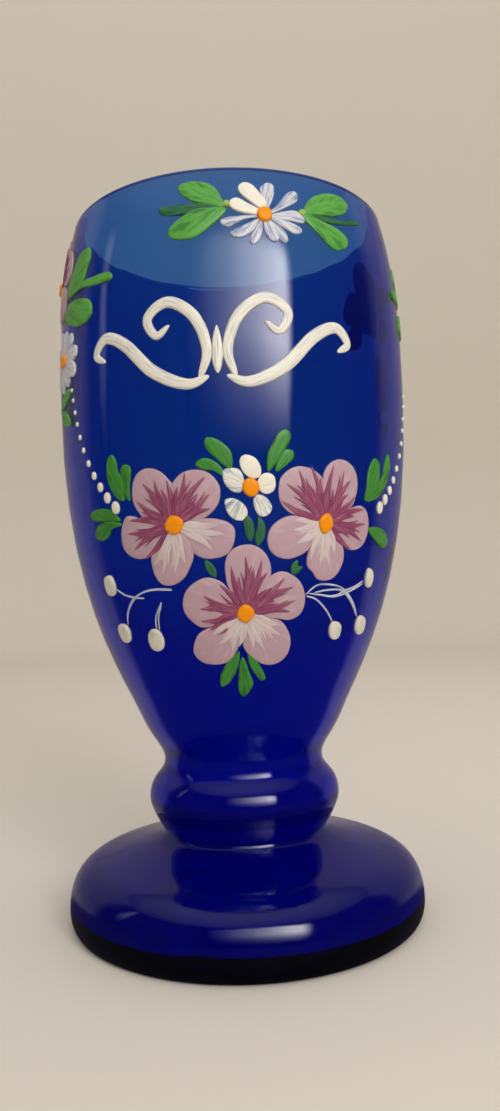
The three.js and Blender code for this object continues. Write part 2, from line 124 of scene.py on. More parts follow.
def bowl_side(neck_wall, belly_wall, lip_side):
    """The four points and aims of one side of the bowl's wall."""
    hip_share = HIP_ABOVE_NECK / (belly_z - neck_z)
    hip_wall = neck_wall + (belly_wall - neck_wall) * hip_share
    hip_aim = point(math.sin(HIP_LEAN), math.cos(HIP_LEAN))
    lip_aim = point(-math.sin(RIM_LEAN), math.cos(RIM_LEAN))
    neck = point(NECK_RADIUS - neck_wall, neck_z)
    hip = point(HIP_RADIUS - hip_wall * hip_aim.y, neck_z + HIP_ABOVE_NECK + hip_wall * hip_aim.x)
    belly = point(BELLY_RADIUS - belly_wall, belly_z)
    half_lip = lip_side * LIP_THICKNESS / 2
    lip = point(RIM_RADIUS + half_lip * lip_aim.y, rim_z - LIP_THICKNESS / 2 - half_lip * lip_aim.x)
    return (neck, UP), (hip, hip_aim), (belly, UP), (lip, lip_aim)


ring_outer = point(FOOT_RADIUS - FOOT_EDGE_RUN, 0)
ring_inner = point(ring_outer.x - RING_WIDTH, 0)
hollow = point(0, HOLLOW_RISE)
edge = point(FOOT_RADIUS, FOOT_EDGE_HEIGHT)
shoulder = point(FOOT_RADIUS - FOOT_SHOULDER_RUN, foot_top - FOOT_COLLAR_HEIGHT)
over_edge = point(FOOT_RADIUS, shoulder.y - FOOT_SHOULDER_RUN * FOOT_SLOPE)
groove = point(GROOVE_RADIUS, foot_top)
collar = point(GROOVE_RADIUS, shoulder.y + (shoulder.x - GROOVE_RADIUS) * FOOT_SLOPE)
widest = point(KNOP_RADIUS, foot_top + KNOP_WIDEST_ABOVE_GROOVE)
bubble = point(KNOP_RADIUS - KNOP_WALL, widest.y)
floor = point(0, foot_top + KNOP_FLOOR)
outside = bowl_side(0, 0, 1)
inside = bowl_side(NECK_WALL, BELLY_WALL, -1)
lip_across = point(math.cos(RIM_LEAN), math.sin(RIM_LEAN)) * LIP_THICKNESS / 2
lip_up = point(-math.sin(RIM_LEAN), math.cos(RIM_LEAN)) * LIP_THICKNESS / 2
lip_top = point(RIM_RADIUS, rim_z - LIP_THICKNESS / 2) + lip_up

foot_and_knop = [
    rounded(hollow, point(ring_inner.x / 2, HOLLOW_RISE), ring_inner, *HOLLOW_FULLNESS),
    straight(ring_inner, ring_outer),
    rounded(ring_outer, point(FOOT_RADIUS, 0), edge, *FOOT_EDGE_FULLNESS),
    rounded(edge, over_edge, shoulder, *FOOT_SHOULDER_FULLNESS),
    rounded(shoulder, collar, groove, *COLLAR_FULLNESS),
    rounded(groove, point(KNOP_RADIUS, foot_top), widest, *KNOP_FULLNESS),
    flowing(widest, UP, *outside[0], *NECK_FULLNESS),
]
bowl_outside = [
    flowing(*outside[0], *outside[1], *HIP_FULLNESS),
    flowing(*outside[1], *outside[2], *FLANK_FULLNESS),
    flowing(*outside[2], *outside[3], *SHOULDER_FULLNESS),
]
lip = [
    (outside[3][0] + QUARTER_ROUND * lip_up, lip_top + QUARTER_ROUND * lip_across, lip_top),
    (lip_top - QUARTER_ROUND * lip_across, inside[3][0] + QUARTER_ROUND * lip_up, inside[3][0]),
]
bowl_inside = [
    flowing(*inside[3], *inside[2], *reversed(SHOULDER_FULLNESS)),
    flowing(*inside[2], *inside[1], *reversed(FLANK_FULLNESS)),
    flowing(*inside[1], *inside[0], *reversed(HIP_FULLNESS)),
    flowing(*inside[0], bubble, UP, *THROAT_FULLNESS),
    rounded(bubble, point(bubble.x, floor.y), floor, *BUBBLE_FULLNESS),
]


def deselect():
    for chosen in bpy.context.selected_objects:
        chosen.select_set(False)


def spun(name, start, runs, curve_steps, turn_steps, faces_inward=False):
    """Draws a section as a curve from its start through its runs, and spins it about the axis."""
    deselect()
    bpy.ops.curve.primitive_bezier_curve_add(location=(0, 0, 0))
    body = bpy.context.object
    body.name = name
    body.data.resolution_u = curve_steps
    spline = body.data.splines[0]
    spline.bezier_points.add(len(runs) + 1 - len(spline.bezier_points))
    spots = [start] + [end for leave, arrive, end in runs]
    befores = [start] + [arrive for leave, arrive, end in runs]
    afters = [leave for leave, arrive, end in runs] + spots[-1:]
    for knot, spot, before, after in zip(spline.bezier_points, spots, befores, afters):
        knot.handle_left_type = knot.handle_right_type = "FREE"
        knot.co = (spot.x, 0, spot.y)
        knot.handle_left = (before.x, 0, before.y)
        knot.handle_right = (after.x, 0, after.y)
    bpy.ops.object.convert(target="MESH")
    section = np.array([(corner.co.x, corner.co.z) for corner in body.data.vertices])
    bpy.ops.object.mode_set(mode="EDIT")
    bpy.ops.mesh.select_all(action="SELECT")
    bpy.ops.mesh.spin(steps=turn_steps, angle=2 * math.pi, center=(0, 0, 0), axis=(0, 0, 1))
    bpy.ops.mesh.select_all(action="SELECT")
    bpy.ops.mesh.remove_doubles(threshold=MERGE_WITHIN)
    bpy.ops.mesh.normals_make_consistent(inside=faces_inward)
    bpy.ops.object.mode_set(mode="OBJECT")
    return body, section


glass_body, glass_section = spun(
    "glass_body", hollow, foot_and_knop + bowl_outside + lip + bowl_inside, CURVE_STEPS, TURN_STEPS
)
bpy.ops.object.shade_smooth_by_angle(angle=SHARPEST_SMOOTH_EDGE)


class Socket:
    """An output of a node. Python's operators on it add Math nodes."""

    def __init__(self, nodes, socket):
        self.nodes = nodes
        self.socket = socket

    def output(self, name):
        """Another output of the same node."""
        return Socket(self.nodes, self.socket.node.outputs[name])

    def math(self, operation, *values):
        return self.nodes.add("Math", dict(enumerate(values)), operation=operation)

    def __add__(self, other):
        return self.math("ADD", self, other)

    def __radd__(self, other):
        return self.math("ADD", other, self)

    def __sub__(self, other):
        return self.math("SUBTRACT", self, other)

    def __rsub__(self, other):
        return self.math("SUBTRACT", other, self)

    def __mul__(self, other):
        return self.math("MULTIPLY", self, other)

    def __rmul__(self, other):
        return self.math("MULTIPLY", other, self)

    def __truediv__(self, other):
        return self.math("DIVIDE", self, other)

    def __rtruediv__(self, other):
        return self.math("DIVIDE", other, self)

    def __pow__(self, other):
        return self.math("POWER", self, other)

    def __rpow__(self, other):
        return self.math("POWER", other, self)


class Nodes:
    """The nodes of a material or of the world."""

    def __init__(self, tree):
        self.tree = tree

    def feed(self, node_name, values, out=0):
        """Puts numbers, colours or links into the sockets of a node, and gives an output of it."""
        node = self.tree.nodes[node_name]
        for name, value in values.items():
            if isinstance(value, Socket):
                self.tree.links.new(value.socket, node.inputs[name])
            else:
                node.inputs[name].default_value = value
        return Socket(self, node.outputs[out]) if node.outputs else None

    def add(self, kind, values=None, out=0, **settings):
        """Adds a node: its settings come first, then the values or links of its sockets."""
        node = self.tree.nodes.new("ShaderNode" + kind)
        for name, setting in settings.items():
            setattr(node, name, setting)
        return self.feed(node.name, values or {}, out)

    def noise(self, place, stretch, scale, detail, roughness=0.5):
        """Noise, finer along an axis that is stretched more."""
        spread = self.add("Mapping", {"Vector": place, "Scale": stretch})
        shape = {"Vector": spread, "Scale": scale, "Detail": detail, "Roughness": roughness}
        return self.add("TexNoise", shape)

    def ramp(self, value, start, end, low=0.0, high=1.0, kind="SMOOTHSTEP"):
        """Goes from low to high while a value goes from start to end."""
        reach = {"Value": value, "From Min": start, "From Max": end, "To Min": low, "To Max": high}
        return self.add("MapRange", reach, interpolation_type=kind)

    def mixed(self, share, first, second):
        """A colour between two."""
        return self.add("Mix", {0: share, 6: first, 7: second}, out=2, data_type="RGBA")


def new_material(name):
    """A material and its nodes."""
    made = bpy.data.materials.new(name)
    made.use_nodes = True
    return made, Nodes(made.node_tree)


# how the glass looks: the cobalt takes the red and green out of the light, the thick glass at the
# edge of the foot is painted nearly black and the tint is painted darker toward the foot, both
# painted shade, and the walls are a little wavy, and cloudy toward the foot
GLASS_INDEX = 1.52
COBALT = (0.0, 0.50, 0.963, 1)
COBALT_DENSITY = 1000
UPPER_TINT = (0.85, 0.85, 0.72, 1)
# painted shade: the lower tint makes the glass darker toward the foot
SHADED_LOWER_TINT = (0.35, 0.38, 0.66, 1)
TINT_HEIGHTS = (95 * MM, 45 * MM)
# painted shade: the thick lower edge of the foot is painted nearly black, in a wavy band
PAINTED_EDGE_SHADE = (0.01, 0.01, 0.02, 1)
DARK_EDGE_HEIGHTS = (5.45 * MM, 5.15 * MM)
DARK_EDGE_RADII = (34 * MM, 36 * MM)
DARK_EDGE_WAVES = 1.2 * MM
EDGE_WAVE_STRETCH, EDGE_WAVE_SCALE = (1, 1, 4), 45
PLEAT_STRETCH, PLEAT_SCALE = (1, 1, 0.25), 110
PLEAT_DEPTH = 0.4 * MM
ROUGH_HEIGHTS, ROUGHNESSES = (38 * MM, 20 * MM), (0.01, 0.07)
CLOUD_BLUE = (0.0, 0.0, 0.5, 1)
CLOUD_HEIGHTS, CLOUD_SHARES = (44 * MM, 34 * MM), (0.06, 0.16)

blue_glass, nodes = new_material("blue_glass")
place = nodes.add("TexCoord", out="Object")
across = nodes.add("SeparateXYZ", {"Vector": place})
deep, height = across.output("Y"), across.output("Z")
waves = nodes.noise(place, EDGE_WAVE_STRETCH, EDGE_WAVE_SCALE, detail=1)
low_down = nodes.ramp(height + (waves - 0.5) * DARK_EDGE_WAVES, *DARK_EDGE_HEIGHTS)
far_out = nodes.ramp(across * across + deep * deep, *[radius**2 for radius in DARK_EDGE_RADII])
# where the painted shade lies: low on the foot and far out from the axis
painted_edge_shade = low_down * far_out
# the tint passes to the darker lower one toward the foot, which is painted shade
tint = nodes.mixed(nodes.ramp(height, *TINT_HEIGHTS), UPPER_TINT, SHADED_LOWER_TINT)
pleats = nodes.noise(place, PLEAT_STRETCH, PLEAT_SCALE, detail=1)
wavy = nodes.add("Bump", {"Height": pleats, "Distance": PLEAT_DEPTH, "Strength": 0.5})
clear = nodes.feed(
    "Principled BSDF",
    {
        "Base Color": nodes.mixed(painted_edge_shade, tint, PAINTED_EDGE_SHADE),
        "Roughness": nodes.ramp(height, *ROUGH_HEIGHTS, *ROUGHNESSES, kind="LINEAR"),
        "IOR": GLASS_INDEX,
        "Transmission Weight": 1.0,
        "Normal": wavy,
    },
)
cloud = nodes.add("BsdfDiffuse", {"Color": CLOUD_BLUE})
cloud_share = (1 - painted_edge_shade) * nodes.ramp(height, *CLOUD_HEIGHTS, *CLOUD_SHARES)
clouded = nodes.add("MixShader", {0: cloud_share, 1: clear, 2: cloud})
cobalt = nodes.add("VolumeAbsorption", {"Color": COBALT, "Density": COBALT_DENSITY})
nodes.feed("Material Output", {"Surface": clouded, "Volume": cobalt})
glass_body.data.materials.append(blue_glass)
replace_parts(glass_body, "bowl", "knop", "foot")
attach(glass_body, "root")

# The bouquet's three pansies. Thick enamel was pressed and pulled on with a brush and fired: five
# lilac petals each, plum pulled out from the heart over the upper petals and white over the lower
# ones, and an orange drop on top. Each dab is a ball pressed to its outline, in millimetres.
PAINT_GIRTH = 37.8
BOUQUET_Z = 77.35
LINE_STEPS = 12
SINK = 0.08

# the presses of the brush: the round edge as shares of its run and of the coat, from outside
DAB_SPOKES, DAB_RINGS = 40, 12
EDGE_RUN = 0.3
ROUND_EDGE = [(0.0, 0.0), (0.12, 0.55), (0.45, 0.86)]
NARROWEST = 0.3
DOME = 0.12
FAN_SPREAD = 6.0

# the pulls of the brush: the points of the ball above LEVEL make the coat, the others sink in
PULL_SPOKES, PULL_RINGS = 12, 20
AIM_STEP = 0.02
TINY = 1e-6
LEVEL = 0.01
END_SQUARENESS = 8
COAT_GROWTH = 1.6
COAT_ROUNDNESS = 0.7
PULL_SPREAD = 3.0

BALL_STEP = 4
STROKES_APART = 7.3

bowl_start = len(foot_and_knop) * CURVE_STEPS
bowl_end = bowl_start + len(bowl_outside) * CURVE_STEPS
wall_radii, wall_heights = glass_section[bowl_start : bowl_end + 1].T / MM


def on_bowl(girth, height, lift):
    """Points in metres on the bowl, from millimetres along the girth, up, and off the glass."""
    turn = girth / PAINT_GIRTH
    radius = np.interp(height, wall_heights, wall_radii)
    lean = np.interp(height, wall_heights[1:], np.diff(wall_radii) / np.diff(wall_heights))
    flat = 1 / np.sqrt(1 + lean**2)
    out = radius + lift * flat
    up = height - lift * flat * lean
    return np.stack([out * np.sin(turn), -out * np.cos(turn), up], -1) * MM


def smooth_line(spots, closed):
    """Points along a smooth line through spots."""
    spots = np.array(spots, float)
    if closed:
        ring = np.concatenate([spots[-1:], spots, spots[:2]])
    else:
        ring = np.concatenate([2 * spots[:1] - spots[1:2], spots, 2 * spots[-1:] - spots[-2:-1]])
    share = np.linspace(0, 1, LINE_STEPS, endpoint=False)[:, None]
    parts = []
    for before, start, end, after in zip(ring, ring[1:], ring[2:], ring[3:]):
        slope = (end - before) * share
        bend = (2 * before - 5 * start + 4 * end - after) * share**2
        twist = (3 * start - before - 3 * end + after) * share**3
        parts.append(0.5 * (2 * start + slope + bend + twist))
    line = np.concatenate(parts)
    return line if closed else np.concatenate([line, spots[-1:]])


def along(line, shares):
    """Points at shares of the length of a line."""
    lengths = np.concatenate([[0], np.cumsum(np.hypot(*np.diff(line, axis=0).T))])
    at = np.array(shares) * lengths[-1]
    return np.stack([np.interp(at, lengths, line[:, 0]), np.interp(at, lengths, line[:, 1])], -1)


def ball_spots(ball, rings):
    """The ring of each point of a ball, from its top, and its turn about the axis."""
    ring = np.rint(np.arccos(np.clip(ball[:, 2], -1, 1)) / (math.pi / rings)).astype(int)
    turn = np.arctan2(ball[:, 1], ball[:, 0]) % (2 * math.pi)
    return ring, turn


def dab(outline, coat, base=(0, 0), place=(0, 0), low=0.0):
    """A pool of paint in an outline: flat below, where it sinks a little into the glass, and
    nearly flat on top with a round edge. Its brush strokes fan out from base."""

    def press(ball):
        ring, turn = ball_spots(ball, DAB_RINGS)
        line = smooth_line(outline, True)
        rim = along(np.concatenate([line, line[:1]]), turn / (2 * math.pi))
        middle = line.mean(axis=0)
        reach = np.hypot(*(rim - middle).T)
        half = DAB_RINGS // 2
        depth = np.minimum(ring, DAB_RINGS - ring)
        inset = np.full(len(ring), EDGE_RUN)
        rise = np.full(len(ring), 1.0)
        for step, (away, high) in enumerate(ROUND_EDGE):
            inset[depth == half - step] = away * EDGE_RUN
            rise[depth == half - step] = high
        flat_rings = half - len(ROUND_EDGE)
        share = np.where(depth >= flat_rings, 1.0, depth / flat_rings)
        share = share * np.maximum(1 - inset / reach, NARROWEST)
        flat = middle + (rim - middle) * share[:, None]
        lift = low + coat * rise * (1 + DOME * (1 - share**2))
        lift = np.where(ring < half, lift, low - SINK)
        lift = np.where(ring == half, low - SINK / 2, lift)
        away = flat - base
        fan = np.arctan2(away[:, 1], away[:, 0]) - np.arctan2(*(middle - base)[::-1])
        fan = (fan + math.pi) % (2 * math.pi) - math.pi
        return flat + place, lift, FAN_SPREAD * fan, np.hypot(*away.T)

    return press, DAB_SPOKES, DAB_RINGS


def pull(path, width, coat, place=(0, 0), low=0.0, full=1.0, blunt=0.8, ends=0.0, rings=PULL_RINGS):
    """One pull of the brush along a path: full is where it is widest, ends keeps it wide."""

    def press(ball):
        ring, turn = ball_spots(ball, rings)
        run = (1 - np.cos(math.pi * ring / rings)) / 2
        line = smooth_line(path, False)
        before, after = np.clip(run - AIM_STEP, 0, 1), np.clip(run + AIM_STEP, 0, 1)
        ahead = along(line, after) - along(line, before)
        ahead /= np.hypot(*ahead.T)[:, None]
        across = np.stack([-ahead[:, 1], ahead[:, 0]], -1)
        swell = np.sin(math.pi * np.clip(run, TINY, 1 - TINY) ** full) ** blunt
        stretch = (1 - np.abs(2 * run - 1) ** END_SQUARENESS) ** 0.5
        half = width / 2 * ((1 - ends) * swell + ends * stretch)
        flat = along(line, run) + across * (half * np.cos(turn))[:, None]
        round_top = np.minimum(half / (width / 2) * COAT_GROWTH, 1) ** 0.5
        above = np.sin(turn) > LEVEL
        high = np.where(above, np.sin(turn), 0) ** COAT_ROUNDNESS
        lift = low + np.where(above, coat * high * round_top, -SINK)
        length = np.hypot(*np.diff(line, axis=0).T).sum()
        return flat + place, lift, PULL_SPREAD * half * np.cos(turn), run * length

    return press, PULL_SPOKES, rings


balls = {}


def ball_mesh(spokes, rings):
    """The ball that a dab is pressed from, made once for each fineness."""
    if (spokes, rings) not in balls:
        deselect()
        bpy.ops.mesh.primitive_uv_sphere_add(segments=spokes, ring_count=rings, radius=1)
        first = bpy.context.object
        balls[spokes, rings] = first.data
        bpy.data.objects.remove(first)
    return balls[spokes, rings]


def painted(name, dabs, paint):
    """Presses balls to dabs on the bowl, as one piece that keeps where the brush ran."""
    deselect()
    for number, (press, spokes, rings) in enumerate(dabs):
        piece = bpy.data.objects.new(name, ball_mesh(spokes, rings).copy())
        piece.location.x = BALL_STEP * number
        bpy.context.collection.objects.link(piece)
        piece.select_set(True)
        if number == 0:
            bpy.context.view_layer.objects.active = piece
    piece = bpy.context.view_layer.objects.active
    if len(dabs) > 1:
        bpy.ops.object.join()
    balls_now = np.array([corner.co for corner in piece.data.vertices])
    owners = np.rint(balls_now[:, 0] / BALL_STEP).astype(int)
    spots = np.empty_like(balls_now)
    strokes = np.empty_like(balls_now)
    for number, (press, spokes, rings) in enumerate(dabs):
        own = owners == number
        flat, lift, across, ahead = press(balls_now[own] - (BALL_STEP * number, 0, 0))
        spots[own] = on_bowl(flat[:, 0], flat[:, 1], lift)
        strokes[own] = np.stack([across, ahead, np.full(own.sum(), STROKES_APART * number)], -1)
    piece.data.vertices.foreach_set("co", spots.ravel())
    brush = piece.data.attributes.new("brush", "FLOAT_VECTOR", "POINT")
    brush.data.foreach_set("vector", strokes.ravel())
    bpy.ops.object.mode_set(mode="EDIT")
    bpy.ops.mesh.select_all(action="SELECT")
    bpy.ops.mesh.normals_make_consistent(inside=False)
    bpy.ops.object.mode_set(mode="OBJECT")
    bpy.ops.object.shade_smooth()
    piece.data.materials.append(paint)
    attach(piece, "root")
    return piece


# the surface of the enamel: streaks that follow the brush, fine grain, and how high both stand
STREAK_STRETCH, STREAK_SCALE = (1.1, 0.16, 1.0), 1.6
STREAK_SPAN = np.array([0.62, 0.78])
STREAK_SHIFT = np.array([0.35, 0.25])
GRAIN_SCALE, GRAIN_SHARE = 2600, 0.12
RELIEF_DEPTH = 0.1 * MM
THINNEST = 0.6


def enamel(name, colour, streak, streaky, roughness, ridge, gloss=0.45, thins=None):
    """Fired enamel: a colour streaked with another along the brush, and fine ridges. Where it
    thins, the second colour takes over between two distances along the pull."""
    paint, nodes = new_material(name)
    brush = nodes.add("Attribute", out="Vector", attribute_name="brush")
    streaks = nodes.noise(brush, STREAK_STRETCH, STREAK_SCALE, detail=3, roughness=0.6)
    grain = nodes.noise(nodes.add("TexCoord", out="Object"), (1, 1, 1), GRAIN_SCALE, detail=2)
    amount = nodes.ramp(streaks, *(STREAK_SPAN - STREAK_SHIFT * streaky), kind="LINEAR")
    if thins:
        far = nodes.add("SeparateXYZ", {"Vector": brush}, out="Y")
        amount = amount + (1 - amount) * nodes.ramp(far, *thins, high=THINNEST, kind="LINEAR")
    relief = streaks * ridge + grain * GRAIN_SHARE
    ridged = nodes.add("Bump", {"Height": relief, "Distance": RELIEF_DEPTH, "Strength": 0.6})
    nodes.feed(
        "Principled BSDF",
        {
            "Base Color": nodes.mixed(amount, (*colour, 1), (*streak, 1)),
            "Roughness": roughness,
            "Specular IOR Level": gloss,
            "Normal": ridged,
        },
    )
    return paint


lilac = enamel("lilac_enamel", (0.445, 0.29, 0.335), (0.50, 0.35, 0.39), 0.3, 0.45, 0.2)
plum = enamel(
    "plum_enamel", (0.205, 0.026, 0.085), (0.345, 0.12, 0.20), 0.5, 0.45, 0.5, thins=(3.5, 9.5)
)
white = enamel(
    "white_enamel", (0.61, 0.53, 0.50), (0.47, 0.35, 0.38), 0.5, 0.45, 0.5, thins=(2.5, 7.5)
)
orange = enamel("orange_enamel", (0.82, 0.275, 0.002), (0.66, 0.17, 0.002), 0.3, 0.30, 0.3, 0.2)

PETAL_COAT = 0.30
EACH_THICKER = 0.03
STROKE_COAT = 0.10
STROKE_LOW = PETAL_COAT + 0.13
STROKE_REACH = 1.05
STROKE_START = 0.22
PLUM_WIDTH, WHITE_WIDTH = 1.35, 1.9
STROKE_MIDDLE = 0.6
STROKE_BENDS = (-0.04, 0.05)
STROKE_CLIMB = 0.006
FINE_REACH, FINE_GROWTH, FINE_ASIDE = 0.80, 0.02, 0.16
FINE_WIDTH, FINE_LOWER = 0.55, 0.01
PANSY_DROP_COAT = 0.95
BOUQUET = (0, BOUQUET_Z)
pansies = {
    "left_pansy": {
        "eye": ((-12.2, 5.4), 1.95, 1.75, 20),
        "petals": [
            [(-12.0, 12.3), (-12.7, 13.6), (-13.9, 14.9), (-15.5, 15.8), (-17.4, 16.1), (-19.2, 15.5),
             (-20.4, 14.2), (-21.0, 12.2), (-21.0, 10.1), (-20.2, 8.4), (-18.5, 6.6), (-14.2, 5.4),
             (-12.2, 7.5)],
            [(-12.3, 12.3), (-11.3, 13.8), (-9.7, 14.9), (-7.5, 15.2), (-5.5, 14.8), (-3.9, 13.6),
             (-2.9, 11.9), (-2.9, 10.0), (-3.7, 8.2), (-5.6, 6.6), (-7.9, 5.9), (-11.2, 5.3),
             (-12.6, 7.5)],
            [(-23.0, 7.6), (-24.3, 6.4), (-25.1, 4.5), (-25.2, 2.4), (-24.5, 0.7), (-22.5, -0.4),
             (-20.2, -0.6), (-18.3, 0.2), (-16.0, 1.8), (-13.0, 4.2), (-13.3, 5.7), (-16.2, 6.3),
             (-18.9, 6.6), (-21.2, 7.4)],
            [(-6.0, 6.3), (-3.7, 6.1), (-1.6, 5.4), (-0.4, 4.3), (-0.3, 2.7), (-0.9, 0.9),
             (-2.2, -0.5), (-4.5, -1.1), (-6.9, -1.0), (-8.7, 0.0), (-10.3, 2.3), (-12.1, 4.9),
             (-10.8, 5.8), (-8.3, 6.2)],
            [(-8.9, 1.5), (-8.9, -0.7), (-9.8, -2.5), (-11.3, -4.5), (-13.5, -5.6), (-15.6, -5.8),
             (-17.2, -5.1), (-18.1, -3.5), (-18.4, -1.8), (-18.2, 0.0), (-16.6, 1.8), (-14.4, 3.6),
             (-12.3, 5.3), (-10.2, 3.6)],
        ],
        "plum": [(-5.7, 7.5), (-3.3, 8), (-0.8, 7.8), (-7.3, 4.5), (2.7, 9), (6.3, 8), (7, 5),
                 (7, 2.5), (-9.5, 1.3), (-10.5, -1), (-9.3, -4), (-7, -5.7), (-4.6, 5.4), (4.4, 6.4),
                 (-8.4, -2.2), (1.2, 6.6), (-6.4, 2.6), (5.2, 3.6), (-2, 6.2)],
        "white": [(9.3, -2), (7, -4.7), (-3.5, -8.5), (-1, -8.4), (1.5, -6.8), (-5.3, -7), (8.4, -0.4),
                  (5.2, -3.2), (0.2, -6), (-3.4, -6)],
    },
    "right_pansy": {
        "eye": ((18.2, 5.0), 1.6, 1.9, -12),
        "petals": [
            [(17.6, 12.7), (16.1, 14.4), (14.2, 15.2), (12.0, 15.4), (10.0, 14.6), (8.6, 13.2),
             (8.2, 11.2), (8.4, 9.2), (9.4, 7.7), (11.1, 6.6), (14.0, 6.0), (17.6, 5.0), (18.1, 8.3)],
            [(17.3, 12.7), (17.8, 14.8), (19.2, 16.3), (21.3, 17.0), (23.6, 16.5), (25.3, 15.1),
             (26.1, 12.9), (25.9, 10.8), (25.2, 8.7), (22.9, 6.9), (20.4, 5.7), (18.1, 5.0),
             (17.2, 8.3)],
            [(25.2, 8.1), (27.5, 8.5), (29.4, 7.5), (30.4, 5.4), (30.3, 3.1), (29.1, 0.9), (27.0, 0.0),
             (24.6, 0.1), (22.7, 1.3), (20.7, 2.8), (18.3, 4.6), (19.9, 6.1), (22.8, 7.3)],
            [(20.7, 2.4), (23.0, 0.9), (23.8, -1.2), (23.3, -3.3), (21.8, -5.1), (19.5, -5.8),
             (17.2, -5.4), (16.1, -4.1), (14.7, -3.0), (14.6, -0.9), (15.4, 1.3), (16.6, 3.1),
             (18.1, 4.8)],
            [(16.4, 5.9), (13.6, 6.3), (10.7, 6.4), (8.5, 5.7), (6.7, 4.3), (6.0, 2.5), (6.3, 0.5),
             (7.8, -1.0), (10.1, -1.6), (12.6, -1.1), (14.6, 0.0), (16.7, 2.4), (18.1, 4.8)],
        ],
        "plum": [(-8, 6.8), (-5.7, 9.2), (-3.3, 10.0), (1.4, 10.3), (3.8, 9.3), (5.5, 7.8), (7, 5),
                 (9.5, 2.7), (10.5, 0.1), (9.5, -3.1), (6.8, -4.7), (-9, 3.9), (-4, 7), (0.2, 7.2),
                 (-6, 5.2), (-1.4, 8), (4.2, 5.2), (7, 1.4), (6.6, -1.6), (-6.4, 2.6)],
        "white": [(-6.5, 0.5), (-6, -3.5), (-3, -6.5), (-0.8, -7.4), (1.7, -7.6), (-6.8, -1.2),
                  (0.4, -6), (2.6, -5.4), (-4.4, -2.8)],
    },
    "low_pansy": {
        "eye": ((1.4, -11.3), 1.9, 1.7, 10),
        "petals": [
            [(2.0, 1.3), (3.9, 0.9), (5.7, -0.4), (6.7, -2.3), (6.9, -4.3), (6.2, -6.3), (5.0, -8.1),
             (3.0, -9.9), (1.4, -11.0), (-0.2, -9.6), (-1.4, -7.9), (-2.3, -6.1), (-2.6, -4.0),
             (-2.6, -2.0), (-1.8, -0.2), (-0.2, 0.9)],
            [(6.8, -4.6), (9.1, -3.8), (11.3, -4.4), (13.5, -5.9), (14.7, -8.0), (14.9, -10.3),
             (13.9, -12.1), (11.4, -13.0), (8.5, -12.6), (5.7, -12.4), (3.5, -11.8), (1.3, -11.2),
             (3.5, -9.2), (5.2, -6.8)],
            [(-3.1, -5.7), (-5.2, -4.7), (-7.2, -4.6), (-9.5, -5.5), (-11.4, -6.9), (-12.4, -8.8),
             (-12.4, -10.7), (-11.4, -12.2), (-9.5, -13.6), (-7.9, -13.9), (-5.1, -13.5),
             (-2.3, -12.6), (1.3, -11.4), (0.0, -9.5), (-1.6, -7.6)],
            [(-7.9, -14.2), (-9.8, -15.1), (-11.0, -16.6), (-11.7, -18.4), (-11.0, -19.8),
             (-9.1, -20.8), (-6.3, -21.1), (-3.4, -20.7), (-1.3, -19.1), (0.1, -16.8), (1.0, -14.4),
             (1.5, -11.4), (-1.4, -12.2), (-4.6, -13.3)],
            [(0.5, -16.9), (1.1, -18.4), (2.6, -19.7), (5.1, -21.1), (7.8, -21.5), (10.3, -20.9),
             (12.0, -19.4), (12.4, -17.3), (11.7, -15.3), (9.9, -13.3), (7.6, -12.5), (4.4, -12.0),
             (1.3, -11.4), (0.5, -14.0)],
        ],
        "plum": [(0.2, 10), (-2.6, 8.4), (3.4, 9.4), (4.4, 7), (1.8, 7.4), (-1.2, 6.6), (8, 6),
                 (10, 4.4), (10.6, 2), (9.6, 0), (7, 4), (7.4, 1.4), (-5, 5.2), (-8.6, 3.4),
                 (-9.6, 1), (-9.6, -1.2), (-8, -3), (-6.6, 2), (-6, -0.8), (5.4, 4.4)],
        "white": [(-7.4, -3.8), (-6.2, -5.6), (-3.4, -7.2), (-1.6, -6), (7.6, -2.4), (6, -4.8),
                  (4.4, -7), (1.6, -6.4), (-4.6, -4), (3.2, -5), (7.8, -4.2)],
    },
}


def oval(middle, wide, high, tilt=0.0, square=0.0, spots=12):
    """An oval outline, with its corners pressed out where square is more than 0."""
    turn = np.linspace(0, 2 * math.pi, spots, endpoint=False)
    swell = 1 + square * np.cos(4 * turn)
    x, y = wide * swell * np.cos(turn), high * swell * np.sin(turn)
    lean = math.radians(tilt)
    right = middle[0] + x * math.cos(lean) - y * math.sin(lean)
    up = middle[1] + x * math.sin(lean) + y * math.cos(lean)
    return np.stack([right, up], -1)


def petals(outlines, base, place=(0, 0), coat=PETAL_COAT, step=EACH_THICKER):
    """Dabs that overlap a little, each a touch thicker than the one before."""
    return [dab(line, coat + step * i, base, place) for i, line in enumerate(outlines)]


def tips(ends, lobes, width, place):
    """Pointed pulls of the brush out from the heart of a flower at (0, 0), and beside each a
    finer one, on the side of the middle of the petal it lies on."""
    middles = [line.mean(axis=0) / np.hypot(*line.mean(axis=0)) for line in lobes]
    pulls = []
    for number, out in enumerate(ends):
        across = np.array([-out[1], out[0]])
        bend = across * STROKE_BENDS[number % 2]
        inward = np.sign(max(middles, key=lambda middle: middle @ out) @ across)
        beside = out * (FINE_REACH + FINE_GROWTH * (number % 5)) + across * FINE_ASIDE * inward
        low = STROKE_LOW + STROKE_CLIMB * (number % 4)
        bold = [out * STROKE_START, out * STROKE_MIDDLE + bend, out]
        fine = [beside * STROKE_START, beside * STROKE_MIDDLE - bend, beside]
        pulls.append(pull(bold, width, STROKE_COAT, place, low, full=0.55, blunt=0.75))
        low, narrow = low - FINE_LOWER, FINE_WIDTH * width
        pulls.append(pull(fine, narrow, STROKE_COAT, place, low, full=0.6, blunt=0.75))
    return pulls


def orange_drop(name, outline, base, place, coat, node):
    """The drop of orange enamel in the heart of a flower."""
    drop = painted(name, [dab(outline, coat, base, place)], orange)
    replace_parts(drop, node)


